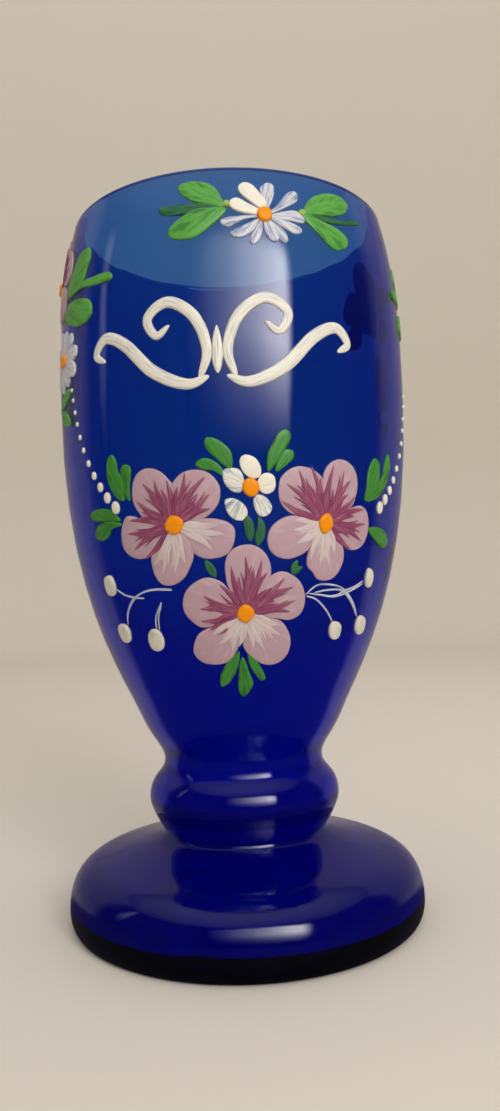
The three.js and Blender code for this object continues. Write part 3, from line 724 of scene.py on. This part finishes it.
def pansy(name, parts, middle, size, petals_node, eye_node):
    """A pansy about its heart. size scales it across and up, and mirrors it below 0."""
    heart, wide, high, tilt = parts["eye"]
    outlines = [(np.array(line) - heart) * size for line in parts["petals"]]
    lobes = painted(name + "_paint", petals(outlines, (0, 0), middle), lilac)
    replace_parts(lobes, petals_node)
    for shade, paint, width, slot in (
        ("plum", plum, PLUM_WIDTH, "lilac_enamel"),
        ("white", white, WHITE_WIDTH, "cream_enamel"),
    ):
        ends = np.array(parts[shade]) * size * STROKE_REACH
        pulls = tips(ends, outlines, width * size[1], middle)
        painted(f"{name}_{shade}_strokes", pulls, paint)
    outline = oval((0, 0), wide * size[1], high * size[1], tilt, square=0.05)
    orange_drop(name + "_drop", outline, (0, 0), middle, PANSY_DROP_COAT, eye_node)


for name, parts in pansies.items():
    heart = parts["eye"][0]
    middle = (heart[0], BOUQUET_Z + heart[1])
    pansy(name, parts, middle, (1, 1), name + "_petals", name + "_eye")

# The posy between the pansies: five thick cream dabs of enamel round an orange drop, fired on.
# The first two are full. The other three were pulled thin, and the blue shows through them.
cream = enamel("cream_enamel", (0.76, 0.72, 0.60), (0.56, 0.55, 0.50), 0.2, 0.38, 0.4)
worn_cream = enamel("worn_cream_enamel", (0.74, 0.72, 0.62), (0.24, 0.30, 0.42), 0.5, 0.38, 0.7)
POSY = (2.9, 11.6)
POSY_DROP_COAT = 0.9
posy_full = [
    [(2.5, 17.5), (4.0, 16.8), (4.9, 15.2), (4.8, 13.7), (3.7, 13.1), (2.4, 13.5), (1.3, 14.7),
     (0.9, 16.3), (1.4, 17.3)],
    [(6.0, 14.2), (7.3, 13.7), (7.7, 12.3), (7.3, 10.9), (6.0, 10.3), (4.7, 10.8), (4.1, 12.3),
     (4.8, 13.7)],
]
posy_worn = [
    [(4.1, 10.3), (5.4, 10.0), (6.5, 9.0), (7.0, 7.7), (6.3, 6.6), (5.0, 6.2), (4.1, 6.7),
     (3.4, 8.2), (3.4, 9.6)],
    [(-2.1, 9.3), (-1.4, 9.7), (-0.3, 9.7), (1.2, 8.9), (2.2, 7.5), (1.9, 6.0), (0.7, 5.6),
     (-0.8, 6.1), (-1.9, 7.6)],
    [(-2.2, 14.8), (-0.3, 15.2), (1.0, 14.7), (1.7, 13.1), (1.6, 11.4), (0.5, 10.6),
     (-1.0, 11.2), (-2.1, 12.6)],
]
posy = painted("posy_full_petals", petals(posy_full, POSY, BOUQUET), cream)
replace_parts(posy, "posy_petals")
painted("posy_worn_petals", petals(posy_worn, POSY, BOUQUET), worn_cream)
outline = oval(POSY, 1.6, 1.75, 20)
orange_drop("posy_drop", outline, POSY, BOUQUET, POSY_DROP_COAT, "posy_eye")

# The bouquet's leaves: green enamel in single presses of a loaded brush, fired on. They are
# thinner and darker where little paint was left on the brush.
LEAF_COAT = 0.33
green = enamel("green_enamel", (0.050, 0.255, 0.030), (0.018, 0.12, 0.018), 0.5, 0.4, 0.6)
thin_green = enamel("thin_green_enamel", (0.028, 0.15, 0.045), (0.010, 0.05, 0.06), 0.55, 0.4, 0.6)
leaves = {
    "left_upper_leaves": (green, (-22.6, 10.2), [
        [(-25.6, 19.5), (-24.4, 18.1), (-24.1, 16.2), (-23.0, 14.6), (-22.9, 12.3), (-23.2, 10.4),
         (-25.3, 11.3), (-26.9, 13.8), (-27.3, 16.5), (-26.9, 18.4)],
        [(-22.0, 17.3), (-21.0, 16.6), (-21.0, 15.1), (-21.5, 12.9), (-21.7, 10.3), (-22.8, 11.6),
         (-23.2, 13.8), (-23.4, 15.9), (-23.1, 17.0)]]),
    "left_side_leaves": (green, (-25.0, 6.8), [
        [(-33.3, 9.4), (-30.0, 9.6), (-27.2, 9.0), (-25.2, 7.4), (-25.2, 6.7), (-28.0, 7.1),
         (-31.0, 7.0), (-34.3, 7.7), (-34.4, 8.7)],
        [(-25.0, 5.9), (-27.7, 5.4), (-29.1, 4.0), (-31.4, 3.4), (-33.5, 3.9), (-33.7, 4.9),
         (-32.3, 6.4), (-29.6, 7.1), (-27.0, 7.0), (-25.0, 6.4)]]),
    "posy_leaf_1": (green, (-0.5, 14.8), [
        [(-5.0, 20.9), (-3.4, 20.6), (-1.8, 19.6), (-0.6, 18.2), (-0.3, 16.5), (-0.6, 15.1),
         (-1.8, 15.5), (-3.5, 17.0), (-5.1, 18.7), (-5.5, 20.0)]]),
    "posy_leaf_2": (green, (-2.0, 14.0), [
        [(-5.7, 17.2), (-3.9, 16.7), (-2.3, 15.2), (-2.2, 13.8), (-4.0, 14.8), (-5.5, 15.0),
         (-7.1, 15.6), (-7.2, 16.5)]]),
    "posy_leaf_3": (green, (6.2, 14.0), [
        [(9.5, 22.1), (10.6, 21.5), (10.5, 19.9), (9.4, 18.1), (7.5, 15.5), (6.3, 14.3), (6.0, 15.5),
         (6.2, 17.7), (7.4, 20.0), (8.3, 21.4)]]),
    "posy_leaf_4": (green, (7.7, 14.0), [
        [(10.4, 18.5), (11.3, 17.9), (11.0, 16.6), (9.4, 15.2), (7.9, 14.3), (7.6, 15.0), (8.1, 16.4),
         (9.2, 18.1)]]),
    "stem_leaf_1": (thin_green, (1.8, 6.9), [
        [(2.1, 6.6), (3.2, 5.5), (3.5, 3.6), (2.9, 1.8), (2.0, 2.4), (1.5, 4.1), (1.3, 5.9)]]),
    "stem_leaf_2": (thin_green, (4.2, 6.6), [
        [(4.2, 6.3), (5.5, 5.1), (5.7, 3.2), (4.9, 1.4), (3.9, 1.1), (3.5, 2.6), (4.0, 4.7)]]),
    "bottom_leaves": (green, (0.2, -18.0), [
        [(-0.3, -18.6), (-2.1, -19.7), (-4.3, -21.6), (-5.6, -23.6), (-5.6, -25.5), (-3.3, -24.8),
         (-1.3, -22.7), (-0.3, -20.5)],
        [(0.4, -19.8), (1.3, -20.6), (2.3, -23.0), (3.3, -25.0), (2.1, -26.8), (0.6, -27.7),
         (-0.8, -26.5), (-0.8, -24.1), (-0.4, -21.3)],
        [(1.8, -18.6), (3.8, -20.3), (5.4, -22.1), (6.6, -24.1), (5.3, -24.5), (3.4, -23.0),
         (2.1, -21.0)]]),
    "right_upper_leaves": (green, (29.0, 9.4), [
        [(31.3, 17.9), (32.9, 17.1), (33.4, 14.7), (33.7, 12.4), (31.0, 10.1), (28.6, 9.5),
         (29.0, 12.5), (29.4, 15.6)],
        [(36.4, 19.3), (37.7, 17.5), (37.4, 15.1), (35.8, 12.6), (33.9, 10.7), (31.0, 9.6),
         (29.3, 9.3), (32.2, 11.5), (34.3, 14.4), (35.3, 17.3)]]),
    "right_side_leaf": (green, (30.4, 4.2), [
        [(30.8, 4.3), (33.8, 4.6), (37.3, 3.9), (39.8, 2.3), (39.6, 0.9), (37.0, 0.5), (34.2, 1.6),
         (31.4, 3.1)]]),
}
for name, (paint, base, outlines) in leaves.items():
    leaf = petals(outlines, base, BOUQUET, LEAF_COAT)
    leaf = painted(name + "_paint", leaf, paint)
    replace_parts(leaf, name)
small_leaves = [
    [(-6.5, -1.3), (-5.3, -1.9), (-4.4, -3.4), (-4.5, -4.6), (-5.9, -3.9), (-6.7, -2.6)],
    [(12.5, -1.7), (12.7, -2.8), (13.8, -3.1), (12.4, -4.4), (11.3, -4.4), (11.2, -2.7)],
]
small_leaves = petals(small_leaves, (0, -8), BOUQUET)
painted("small_leaves", small_leaves, thin_green)

# The berry sprigs beside the low pansy: thick cream drops of enamel on stems that were drawn
# with a nearly dry brush, two thin lines side by side.
BERRY_COAT = 0.5
STEM_WIDTH = 0.42
STEM_COAT = 0.12
berry_cream = enamel("berry_enamel", (0.66, 0.63, 0.52), (0.50, 0.48, 0.39), 0.3, 0.38, 0.5)
thin_white = enamel("thin_white_enamel", (0.56, 0.57, 0.60), (0.16, 0.19, 0.36), 0.5, 0.38, 0.6)
sprigs = {
    "left_sprig": [
        [[(-30.3, -6.2), (-28.0, -7.3), (-25.0, -7.9), (-22.1, -8.1)],
         [(-29.6, -13.3), (-28.2, -10.5), (-25.0, -8.0), (-20.1, -6.6), (-14.5, -6.7)],
         [(-29.5, -12.7), (-27.4, -9.9), (-24.0, -7.6), (-19.5, -6.5), (-14.6, -6.5)]],
        [[(-32.5, -3.4), (-30.9, -3.6), (-30.2, -5.3), (-30.7, -6.9), (-32.2, -7.5), (-33.8, -7.0),
          (-34.1, -5.4), (-33.7, -4.0)],
         [(-32.1, -13.0), (-30.2, -13.3), (-29.5, -14.7), (-30.2, -16.3), (-31.9, -16.9),
          (-33.5, -16.4), (-34.0, -14.7), (-33.5, -13.5)]]],
    "left_low_sprig": [
        [[(-19.8, -14.4), (-19.2, -11.7), (-17.8, -9.2)],
         [(-20.6, -14.1), (-19.9, -11.7), (-17.7, -8.9)]],
        [[(-21.6, -14.0), (-19.9, -14.4), (-19.1, -16.0), (-19.6, -17.6), (-21.2, -18.4),
          (-23.1, -18.0), (-23.7, -16.4), (-23.1, -14.8)]]],
    "right_sprig": [
        [[(15.1, -8.6), (17.8, -9.3), (20.9, -11.4), (23.6, -13.9)],
         [(14.9, -8.4), (17.4, -6.7), (20.4, -6.5), (24.6, -7.3), (28.5, -9.6), (32.4, -13.3)],
         [(17.1, -8.0), (20.7, -7.6), (24.7, -7.8), (28.3, -9.9), (31.8, -13.0)],
         [(15.6, -8.1), (19.8, -8.6), (23.2, -8.9), (27.3, -8.0), (31.9, -6.5)],
         [(20.4, -8.9), (23.7, -8.6), (25.4, -7.9), (28.5, -7.2), (31.6, -6.0)]],
        [[(24.0, -13.7), (26.1, -14.2), (26.8, -15.6), (26.3, -17.1), (24.3, -17.2), (23.0, -16.0),
          (22.9, -14.4)],
         [(33.8, -12.9), (36.0, -13.6), (36.9, -15.3), (36.2, -16.6), (33.9, -16.7), (32.4, -15.4),
          (32.4, -13.6)],
         [(33.0, -3.5), (34.4, -4.1), (35.1, -5.7), (34.6, -7.2), (33.0, -7.2), (32.1, -5.7),
          (32.3, -4.0)]]],
}
for name, (stems, berries) in sprigs.items():
    drops = petals(berries, (0, 0), BOUQUET, BERRY_COAT)
    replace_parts(painted(name + "_berries", drops, berry_cream), name)
    lines = [pull(path, STEM_WIDTH, STEM_COAT, BOUQUET, ends=0.8) for path in stems]
    painted(name + "_stems", lines, thin_white)

# Two strings of cream enamel dots that climb from the pansies, each set down with the tip of the
# brush, smaller than the one below it, and closer to it near the end of the string.
DOT_PLACES = [0, 0.111, 0.222, 0.333, 0.444, 0.556, 0.659, 0.759, 0.844, 0.928, 0.997]
DOT_RADII = [1.05, 0.92, 0.8, 0.68, 0.58, 0.5, 0.46, 0.43, 0.41, 0.39, 0.37]
DOT_HEIGHT_TO_WIDTH = 1.2
DOT_COAT = 0.42
THINNER_EACH = 0.96
CAD_DOTS = 4
strings = {
    "left": [(-25.8, 9.4), (-35.4, 18.2), (-38.8, 34.4)],
    "right": [(34.3, 8.4), (43.5, 15.5), (50.5, 33.5)],
}
for side, (first, aim, last) in strings.items():
    for number, (share, size) in enumerate(zip(DOT_PLACES, DOT_RADII)):
        start, turn, end = (1 - share) ** 2, 2 * share * (1 - share), share**2
        at = start * np.array(first) + turn * np.array(aim) + end * np.array(last)
        outline = oval(at, size, size * DOT_HEIGHT_TO_WIDTH)
        dot = dab(outline, DOT_COAT * THINNER_EACH**number, at, BOUQUET)
        piece = painted(f"{side}_string_{number + 1}", [dot], cream)
        if number < CAD_DOTS:
            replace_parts(piece, f"{side}_dot_{number + 1}")

# The daisy under the rim: two full cream petals of enamel and nine thin ones round an orange
# drop, and three leaves on each side that start from a drop of light green.
TOP_DAISY = (7.3, 139.68)
BRIGHT_COAT, THIN_COAT = 0.42, 0.26
TOP_DROP_COAT = 0.9
TOP_LEAF_COAT = 0.36
JOINT_COAT = 0.5
bright_green = enamel(
    "bright_green_enamel", (0.095, 0.35, 0.05), (0.032, 0.18, 0.03), 0.45, 0.4, 0.6
)
lime = enamel("lime_enamel", (0.30, 0.44, 0.07), (0.13, 0.32, 0.05), 0.4, 0.4, 0.3)
bright = [
    [(-0.6, 1.1), (-2.7, 2.6), (-4.6, 4.3), (-4.9, 5.7), (-3.7, 6.6), (-2.0, 6.1), (-0.6, 4.5),
     (0.6, 2.7), (0.4, 1.2)],
    [(-1.4, -0.1), (-4.7, 0.4), (-6.6, 1.4), (-6.7, 2.7), (-5.2, 3.3), (-2.2, 1.7), (-0.8, 0.9)],
]
pale = [
    [(-0.5, 5.5), (1.1, 6.8), (2.4, 6.3), (2.4, 4.5), (1.5, 2.3), (0.3, 0.9), (-0.2, 3.5)],
    [(1.1, 0.7), (2.5, 1.9), (4.6, 4.4), (6.4, 5.6), (7.6, 5.1), (7.1, 3.5), (4.3, 1.7), (1.6, 0.4)],
    [(1.4, 0.2), (5.9, 1.5), (8.2, 0.8), (8.3, -0.7), (6.1, -0.9), (1.3, -0.4)],
    [(1.6, -0.2), (5.1, -0.9), (7.4, -1.9), (7.4, -2.9), (5.4, -3.1), (1.5, -1.0)],
    [(0.8, -0.8), (3.4, -2.3), (4.5, -4.2), (4.1, -5.2), (3.1, -5.1), (0.5, -1.6)],
    [(0.3, -1.1), (2.1, -3.0), (2.7, -4.4), (1.7, -5.2), (0.3, -4.3), (-0.3, -1.6)],
    [(-0.5, -1.1), (-0.5, -3.4), (-1.6, -5.4), (-2.7, -5.9), (-3.0, -4.7), (-1.0, -1.4)],
    [(-1.0, -1.2), (-2.5, -3.5), (-4.9, -4.6), (-6.6, -4.2), (-6.3, -3.2), (-1.4, -0.9)],
    [(-1.4, -0.6), (-3.8, -1.0), (-6.8, -2.5), (-8.4, -1.9), (-8.4, -0.9), (-5.7, -0.4), (-1.4, -0.1)],
]
daisy = petals(bright, (0, 0), TOP_DAISY, BRIGHT_COAT)
daisy = painted("top_daisy_bright_petals", daisy, cream)
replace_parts(daisy, "top_daisy_petals")
thin = petals(pale, (0, 0), TOP_DAISY, THIN_COAT, step=0.01)
painted("top_daisy_thin_petals", thin, thin_white)
outline = oval((0, 0), 1.55, 1.5)
orange_drop("top_daisy_drop", outline, (0, 0), TOP_DAISY, TOP_DROP_COAT, "top_daisy_eye")
top_leaves = {
    "left": ((-7.4, 1.8), [
        [(-7.8, 1.8), (-12.4, 2.5), (-18.0, 2.7), (-20.7, 2.7), (-20.9, 1.5), (-17.9, 0.6),
         (-12.4, 0.6), (-8.1, 1.1)],
        [(-7.8, 2.2), (-9.2, 5.2), (-11.5, 6.8), (-14.6, 7.3), (-17.1, 6.6), (-16.5, 4.9),
         (-13.9, 3.0), (-10.5, 1.9), (-8.1, 1.4)],
        [(-7.4, 1.3), (-10.5, 1.5), (-13.4, 1.4), (-16.4, 0.0), (-18.6, -1.9), (-18.8, -3.4),
         (-16.8, -4.3), (-13.4, -4.1), (-10.5, -2.2), (-8.2, -0.3)]]),
    "right": ((8.0, 1.2), [
        [(8.6, 1.3), (13.3, 1.5), (18.7, 1.7), (23.5, 2.9), (23.3, 2.1), (17.8, 0.7), (12.5, 0.1),
         (8.5, 0.5)],
        [(8.2, 1.6), (10.2, 4.5), (13.7, 6.4), (18.0, 7.1), (20.8, 6.0), (19.7, 3.8), (16.0, 2.1),
         (11.4, 1.3), (8.8, 1.0)],
        [(7.8, 1.5), (11.9, 0.5), (16.2, -0.5), (18.7, -2.0), (18.3, -3.8), (15.7, -5.0),
         (13.3, -4.4), (10.9, -2.3), (8.4, -0.2)]]),
}
for side, (base, outlines) in top_leaves.items():
    fan = petals(outlines[1:], base, TOP_DAISY, TOP_LEAF_COAT)
    fan = painted(f"top_leaves_{side}_full", fan, bright_green)
    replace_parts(fan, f"top_leaves_{side}")
    thin = petals(outlines[:1], base, TOP_DAISY)
    painted(f"top_leaves_{side}_thin", thin, thin_green)
joint_spots = [(-7.3, 2.2), (8.0, 1.3)]
joints = [dab(oval(at, 0.8, 0.7), JOINT_COAT, at, TOP_DAISY) for at in joint_spots]
painted("top_leaf_joints", joints, lime)

# Sprays on the two sides in the same enamel: a pansy, three leaves, a daisy and two leaves below
# it. The glass was turned between them, so the right one is the left one mirrored.
SIDES = {"left": (-52.2, 1), "right": (71.3, -1)}
SIDE_PANSY_Z = 136.5
SIDE_PANSY_SIZE = 0.85
DAISY_BESIDE, DAISY_BELOW = 9.17, 18.0
DAISY_PETALS = 10
DAISY_FIRST_AIM = 7
DAISY_REACH = 7.2
DAISY_PETAL_SPREAD = 15
DAISY_PETAL_FULLNESS = 0.9
HALF_PETAL = [(0.0, 0.05), (0.3, 0.45), (0.62, 0.95), (0.85, 0.8), (0.98, 0.35)]
SIDE_DROP_COAT = 0.8
SIDE_LEAF_COAT = 0.34
pale_white = enamel("pale_white_enamel", (0.66, 0.66, 0.66), (0.30, 0.34, 0.48), 0.5, 0.38, 0.6)
side_leaves = [
    [(19.3, 2.9), (20.5, 0.9), (19.6, -1.4), (17.9, -4.0), (13.8, -5.4), (9.6, -5.1),
     (10.1, -3.1), (12.8, -0.3), (15.5, 2.2)],
    [(17.9, -4.0), (22.1, -4.0), (26.8, -4.3), (27.9, -5.2), (27.2, -6.1), (23.1, -6.0),
     (18.0, -5.3), (13.1, -5.2)],
    [(10.9, -7.1), (15.3, -6.8), (19.7, -7.7), (21.8, -9.4), (21.6, -11.6), (19, -12.7),
     (15.1, -12.3), (9.4, -9.8)],
]
low_leaves = [
    [(-4.3, -9.2), (-2.2, -7.6), (1.0, -6.3), (3.3, -6.4), (2.8, -7.8), (0.2, -9.1), (-2.4, -9.7)],
    [(-4.2, -9.6), (-1.6, -9.8), (1.3, -11.3), (2.9, -13.2), (1.6, -13.8), (-1.2, -12.9),
     (-3.2, -11.3)],
]


def petal(aim, reach, spread):
    """The outline of one petal that grows from the heart of a flower at (0, 0)."""
    aim = math.radians(aim)
    ahead = np.array([math.cos(aim), math.sin(aim)])
    across = np.array([-math.sin(aim), math.cos(aim)])
    wide = reach * math.tan(math.radians(spread)) * DAISY_PETAL_FULLNESS
    side = [ahead * reach * out + across * wide * off for out, off in HALF_PETAL]
    other = [ahead * reach * out - across * wide * off for out, off in HALF_PETAL]
    return side + other[::-1]


for side, (girth, turn) in SIDES.items():
    name, node = side + "_side_", side + "_spray_"
    at = (girth, SIDE_PANSY_Z)
    size = (turn * SIDE_PANSY_SIZE, SIDE_PANSY_SIZE)
    low_pansy = pansies["low_pansy"]
    pansy(name + "pansy", low_pansy, at, size, node + "pansy_petals", node + "pansy_eye")
    daisy_at = (girth + turn * DAISY_BESIDE, SIDE_PANSY_Z - DAISY_BELOW)
    daisy = []
    for number in range(DAISY_PETALS):
        aim = DAISY_FIRST_AIM + 360 / DAISY_PETALS * number
        daisy.append(petal(aim, DAISY_REACH - 0.5 * (number % 3), DAISY_PETAL_SPREAD))
    daisy = petals(daisy, (0, 0), daisy_at, step=0.01)
    daisy = painted(name + "daisy", daisy, pale_white)
    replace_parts(daisy, node + "daisy_petals")
    outline = oval((0, 0), 1.5, 1.5)
    orange_drop(name + "daisy_drop", outline, (0, 0), daisy_at, SIDE_DROP_COAT, node + "daisy_eye")
    for kind, outlines, base, place in (
        ("leaves", side_leaves, (8.4, -5.6), at),
        ("low_leaves", low_leaves, (-4.0, -9.2), daisy_at),
    ):
        outlines = [np.array(spots) * (turn, 1) for spots in outlines]
        fan = petals(outlines, (turn * base[0], base[1]), place, SIDE_LEAF_COAT)
        fan = painted(name + kind, fan, bright_green)
        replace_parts(fan, node + kind)

# A plain mirrored scroll above the bouquet, in raised cream enamel: two long pulls of a loaded
# brush on each side, and a short one between them.
SCROLL = (-2.5, 115.75)
WAVE_WIDTH, WAVE_COAT = 2.6, 0.34
CURL_WIDTH, CURL_COAT = 2.3, 0.38
BAR_WIDTH, BAR_COAT = 2.2, 0.4
SCROLL_RINGS = 64
brushed_cream = enamel(
    "brushed_cream_enamel", (0.76, 0.73, 0.62), (0.42, 0.44, 0.47), 0.45, 0.38, 0.6
)
wave = [(1.6, -6.4), (6, -7.6), (12.5, -4.6), (18.5, 1.2), (23.5, 3.4), (26.2, 0.6), (23.6, -1.2)]
curl = [(3.4, -7), (1.9, -1.5), (4.2, 4.8), (9.2, 8), (13.4, 5.4), (11.6, 1.9), (8.9, 3.6)]
bar = [(0, -6), (0, 3)]
scroll = []
for flip in (1, -1):
    for path, width, coat in ((wave, WAVE_WIDTH, WAVE_COAT), (curl, CURL_WIDTH, CURL_COAT)):
        path = np.array(path) * (flip, 1)
        scroll.append(
            pull(path, width, coat, SCROLL, full=0.9, blunt=0.5, ends=0.45, rings=SCROLL_RINGS)
        )
scroll.append(pull(bar, BAR_WIDTH, BAR_COAT, SCROLL, full=0.8, blunt=0.7))
painted("scroll", scroll, brushed_cream)

# The stage: a pale floor that curves up into a wall all round. It shows at full lightness to the
# camera and through the glass, and darker in reflections, so that the glass keeps its depth.
FLOOR_RADIUS = 0.75
FLOOR_Z = -0.1 * MM
BEND_RADIUS = 0.25
WALL_RADIUS = FLOOR_RADIUS + BEND_RADIUS
WALL_HEIGHT = 0.97
HANDLE = 0.1
BEND_HANDLE = QUARTER_ROUND * BEND_RADIUS
BEND_STEPS = 12
STAGE_TURN_STEPS = 72
STAGE_COLOUR = (0.68, 0.63, 0.56, 1)
MIRRORED_COLOUR = (0.02, 0.018, 0.03, 1)
MIRRORED_SHARE, FRONT_SHARE = 0.45, 0.5
FRONT_SPAN = (0.38, 0.20)
AXIS_GAP = 1 * MM
floor_middle, floor_end = point(0, FLOOR_Z), point(FLOOR_RADIUS, FLOOR_Z)
wall_start, wall_end = point(WALL_RADIUS, BEND_RADIUS), point(WALL_RADIUS, WALL_HEIGHT)
OUT = Vector((1, 0))
sweep = [
    (floor_middle + HANDLE * OUT, floor_end - HANDLE * OUT, floor_end),
    (floor_end + BEND_HANDLE * OUT, wall_start - BEND_HANDLE * UP, wall_start),
    (wall_start + HANDLE * UP, wall_end - HANDLE * UP, wall_end),
]
stage = spun("stage", floor_middle, sweep, BEND_STEPS, STAGE_TURN_STEPS, faces_inward=True)[0]
bpy.ops.object.shade_smooth()
stage_white, nodes = new_material("stage_white")
side = nodes.add("SeparateXYZ", {"Vector": nodes.add("TexCoord", out="Object")})
behind = side.output("Y")
distance = (side * side + behind * behind) ** 0.5 + AXIS_GAP
front = nodes.ramp(behind / distance, *FRONT_SPAN, kind="LINEAR")
glossy = nodes.add("LightPath", out="Is Glossy Ray")
passed = glossy.output("Is Transmission Ray")
mirrored = glossy * (1 - passed) * (MIRRORED_SHARE + FRONT_SHARE * front)
nodes.feed(
    "Principled BSDF",
    {
        "Base Color": nodes.mixed(mirrored, STAGE_COLOUR, MIRRORED_COLOUR),
        "Roughness": 0.95,
        "Specular IOR Level": 0.05,
    },
)
stage.data.materials.append(stage_white)

# The light: the room above the wall, a tall soft card in front to the right that makes the long
# highlight, and a narrow one at the left. The cards light the glass and show only in reflections.
WARM_WHITE = (1.0, 0.98, 0.96, 1)
BLACK = (0, 0, 0, 1)
BOWL_MIDDLE = Vector((0, 0, 0.09))
ROOM_STRENGTH = 1.05
MIRRORED_LESS, LOW_LESS = 0.45, 0.6
LOW_SPAN = (0.95, 0.60)
room = bpy.data.worlds.new("room")
bpy.context.scene.world = room
room.use_nodes = True
nodes = Nodes(room.node_tree)
glossy = nodes.add("LightPath", out="Is Glossy Ray")
passed = glossy.output("Is Transmission Ray")
up = nodes.add("SeparateXYZ", {"Vector": nodes.add("TexCoord", out="Generated")}, out="Z")
low = nodes.ramp(up, *LOW_SPAN, kind="LINEAR")
strength = ROOM_STRENGTH - glossy * (1 - passed) * (MIRRORED_LESS + LOW_LESS * low)
nodes.feed("Background", {"Color": WARM_WHITE, "Strength": strength})

# the card's coordinates run from -CARD_END to CARD_END both ways
CARD_END = 0.5
PEAK_WIDTH = 0.04
UPWARD_GROWTH = 2.2
TOP_FADE_START = 0.3


def card(name, azimuth, elevation, distance, width, height, strength, peak, growth):
    """A soft lit card that faces the bowl, brightest at peak of its width, darker downward."""
    turn, rise = math.radians(azimuth), math.radians(elevation)
    level = math.cos(rise)
    out = Vector((math.sin(turn) * level, -math.cos(turn) * level, math.sin(rise)))
    deselect()
    bpy.ops.mesh.primitive_plane_add(size=1, location=BOWL_MIDDLE + distance * out)
    lit = bpy.context.object
    lit.name = name
    lit.rotation_mode = "QUATERNION"
    lit.rotation_quaternion = out.to_track_quat("Z", "Y")
    lit.scale = (width, height, 1)
    glow, nodes = new_material(name)
    x = nodes.add("SeparateXYZ", {"Vector": nodes.add("TexCoord", out="Object")})
    y = x.output("Y")
    grown = nodes.ramp(x, -CARD_END, peak, kind="LINEAR") ** growth
    faded = nodes.ramp(x, CARD_END, peak + PEAK_WIDTH, kind="SMOOTHERSTEP")
    risen = nodes.ramp(y, -CARD_END, 0.0, kind="LINEAR") ** UPWARD_GROWTH
    ended = nodes.ramp(y, CARD_END, TOP_FADE_START, kind="SMOOTHERSTEP")
    colour = nodes.mixed(grown * faded * risen * ended, BLACK, WARM_WHITE)
    lamp = nodes.add("Emission", {"Color": colour, "Strength": strength})
    camera_ray = nodes.add("LightPath", out="Is Camera Ray")
    passed = camera_ray.output("Is Transmission Ray")
    lit_side = nodes.add("NewGeometry", out="Backfacing")
    shown = (1 - camera_ray) * (1 - passed) * lit_side
    clear = nodes.add("BsdfTransparent")
    surface = nodes.add("MixShader", {0: shown, 1: clear, 2: lamp})
    nodes.feed("Material Output", {"Surface": surface})
    lit.data.materials.append(glow)


card("window_card", 6, 20, 0.7, 0.91, 0.56, strength=12.0, peak=0.31, growth=2.3)
card("left_card", -88, 20, 0.7, 0.12, 0.5, strength=0.9, peak=0.0, growth=1.0)

# The camera, as fitted to the outline of the glass: a telephone held close in front of it, a
# little below the middle, that looks slightly up and is turned a little about its line of sight.
NEAREST_SEEN = 10 * MM
CAMERA_DISTANCE = 192.80 * MM
CAMERA_HEIGHT = 70.77 * MM
LOOK_UP = math.radians(2.103)
TURN_RIGHT = math.radians(0.840)
ROLL = math.radians(-1.818)
SENSOR, LENS = 36, 27.89
deselect()
bpy.ops.object.camera_add()
camera = bpy.context.object
camera.data.sensor_width = SENSOR
camera.data.lens = LENS
camera.data.clip_start = NEAREST_SEEN
camera.rotation_mode = "QUATERNION"
camera.matrix_world = (
    Matrix.Translation((0, -CAMERA_DISTANCE, CAMERA_HEIGHT))
    @ Matrix.Rotation(-TURN_RIGHT, 4, "Z")
    @ Matrix.Rotation(math.pi / 2 + LOOK_UP, 4, "X")
    @ Matrix.Rotation(ROLL, 4, "Z")
)
bpy.context.scene.camera = camera
bpy.context.scene.view_settings.view_transform = "Standard"
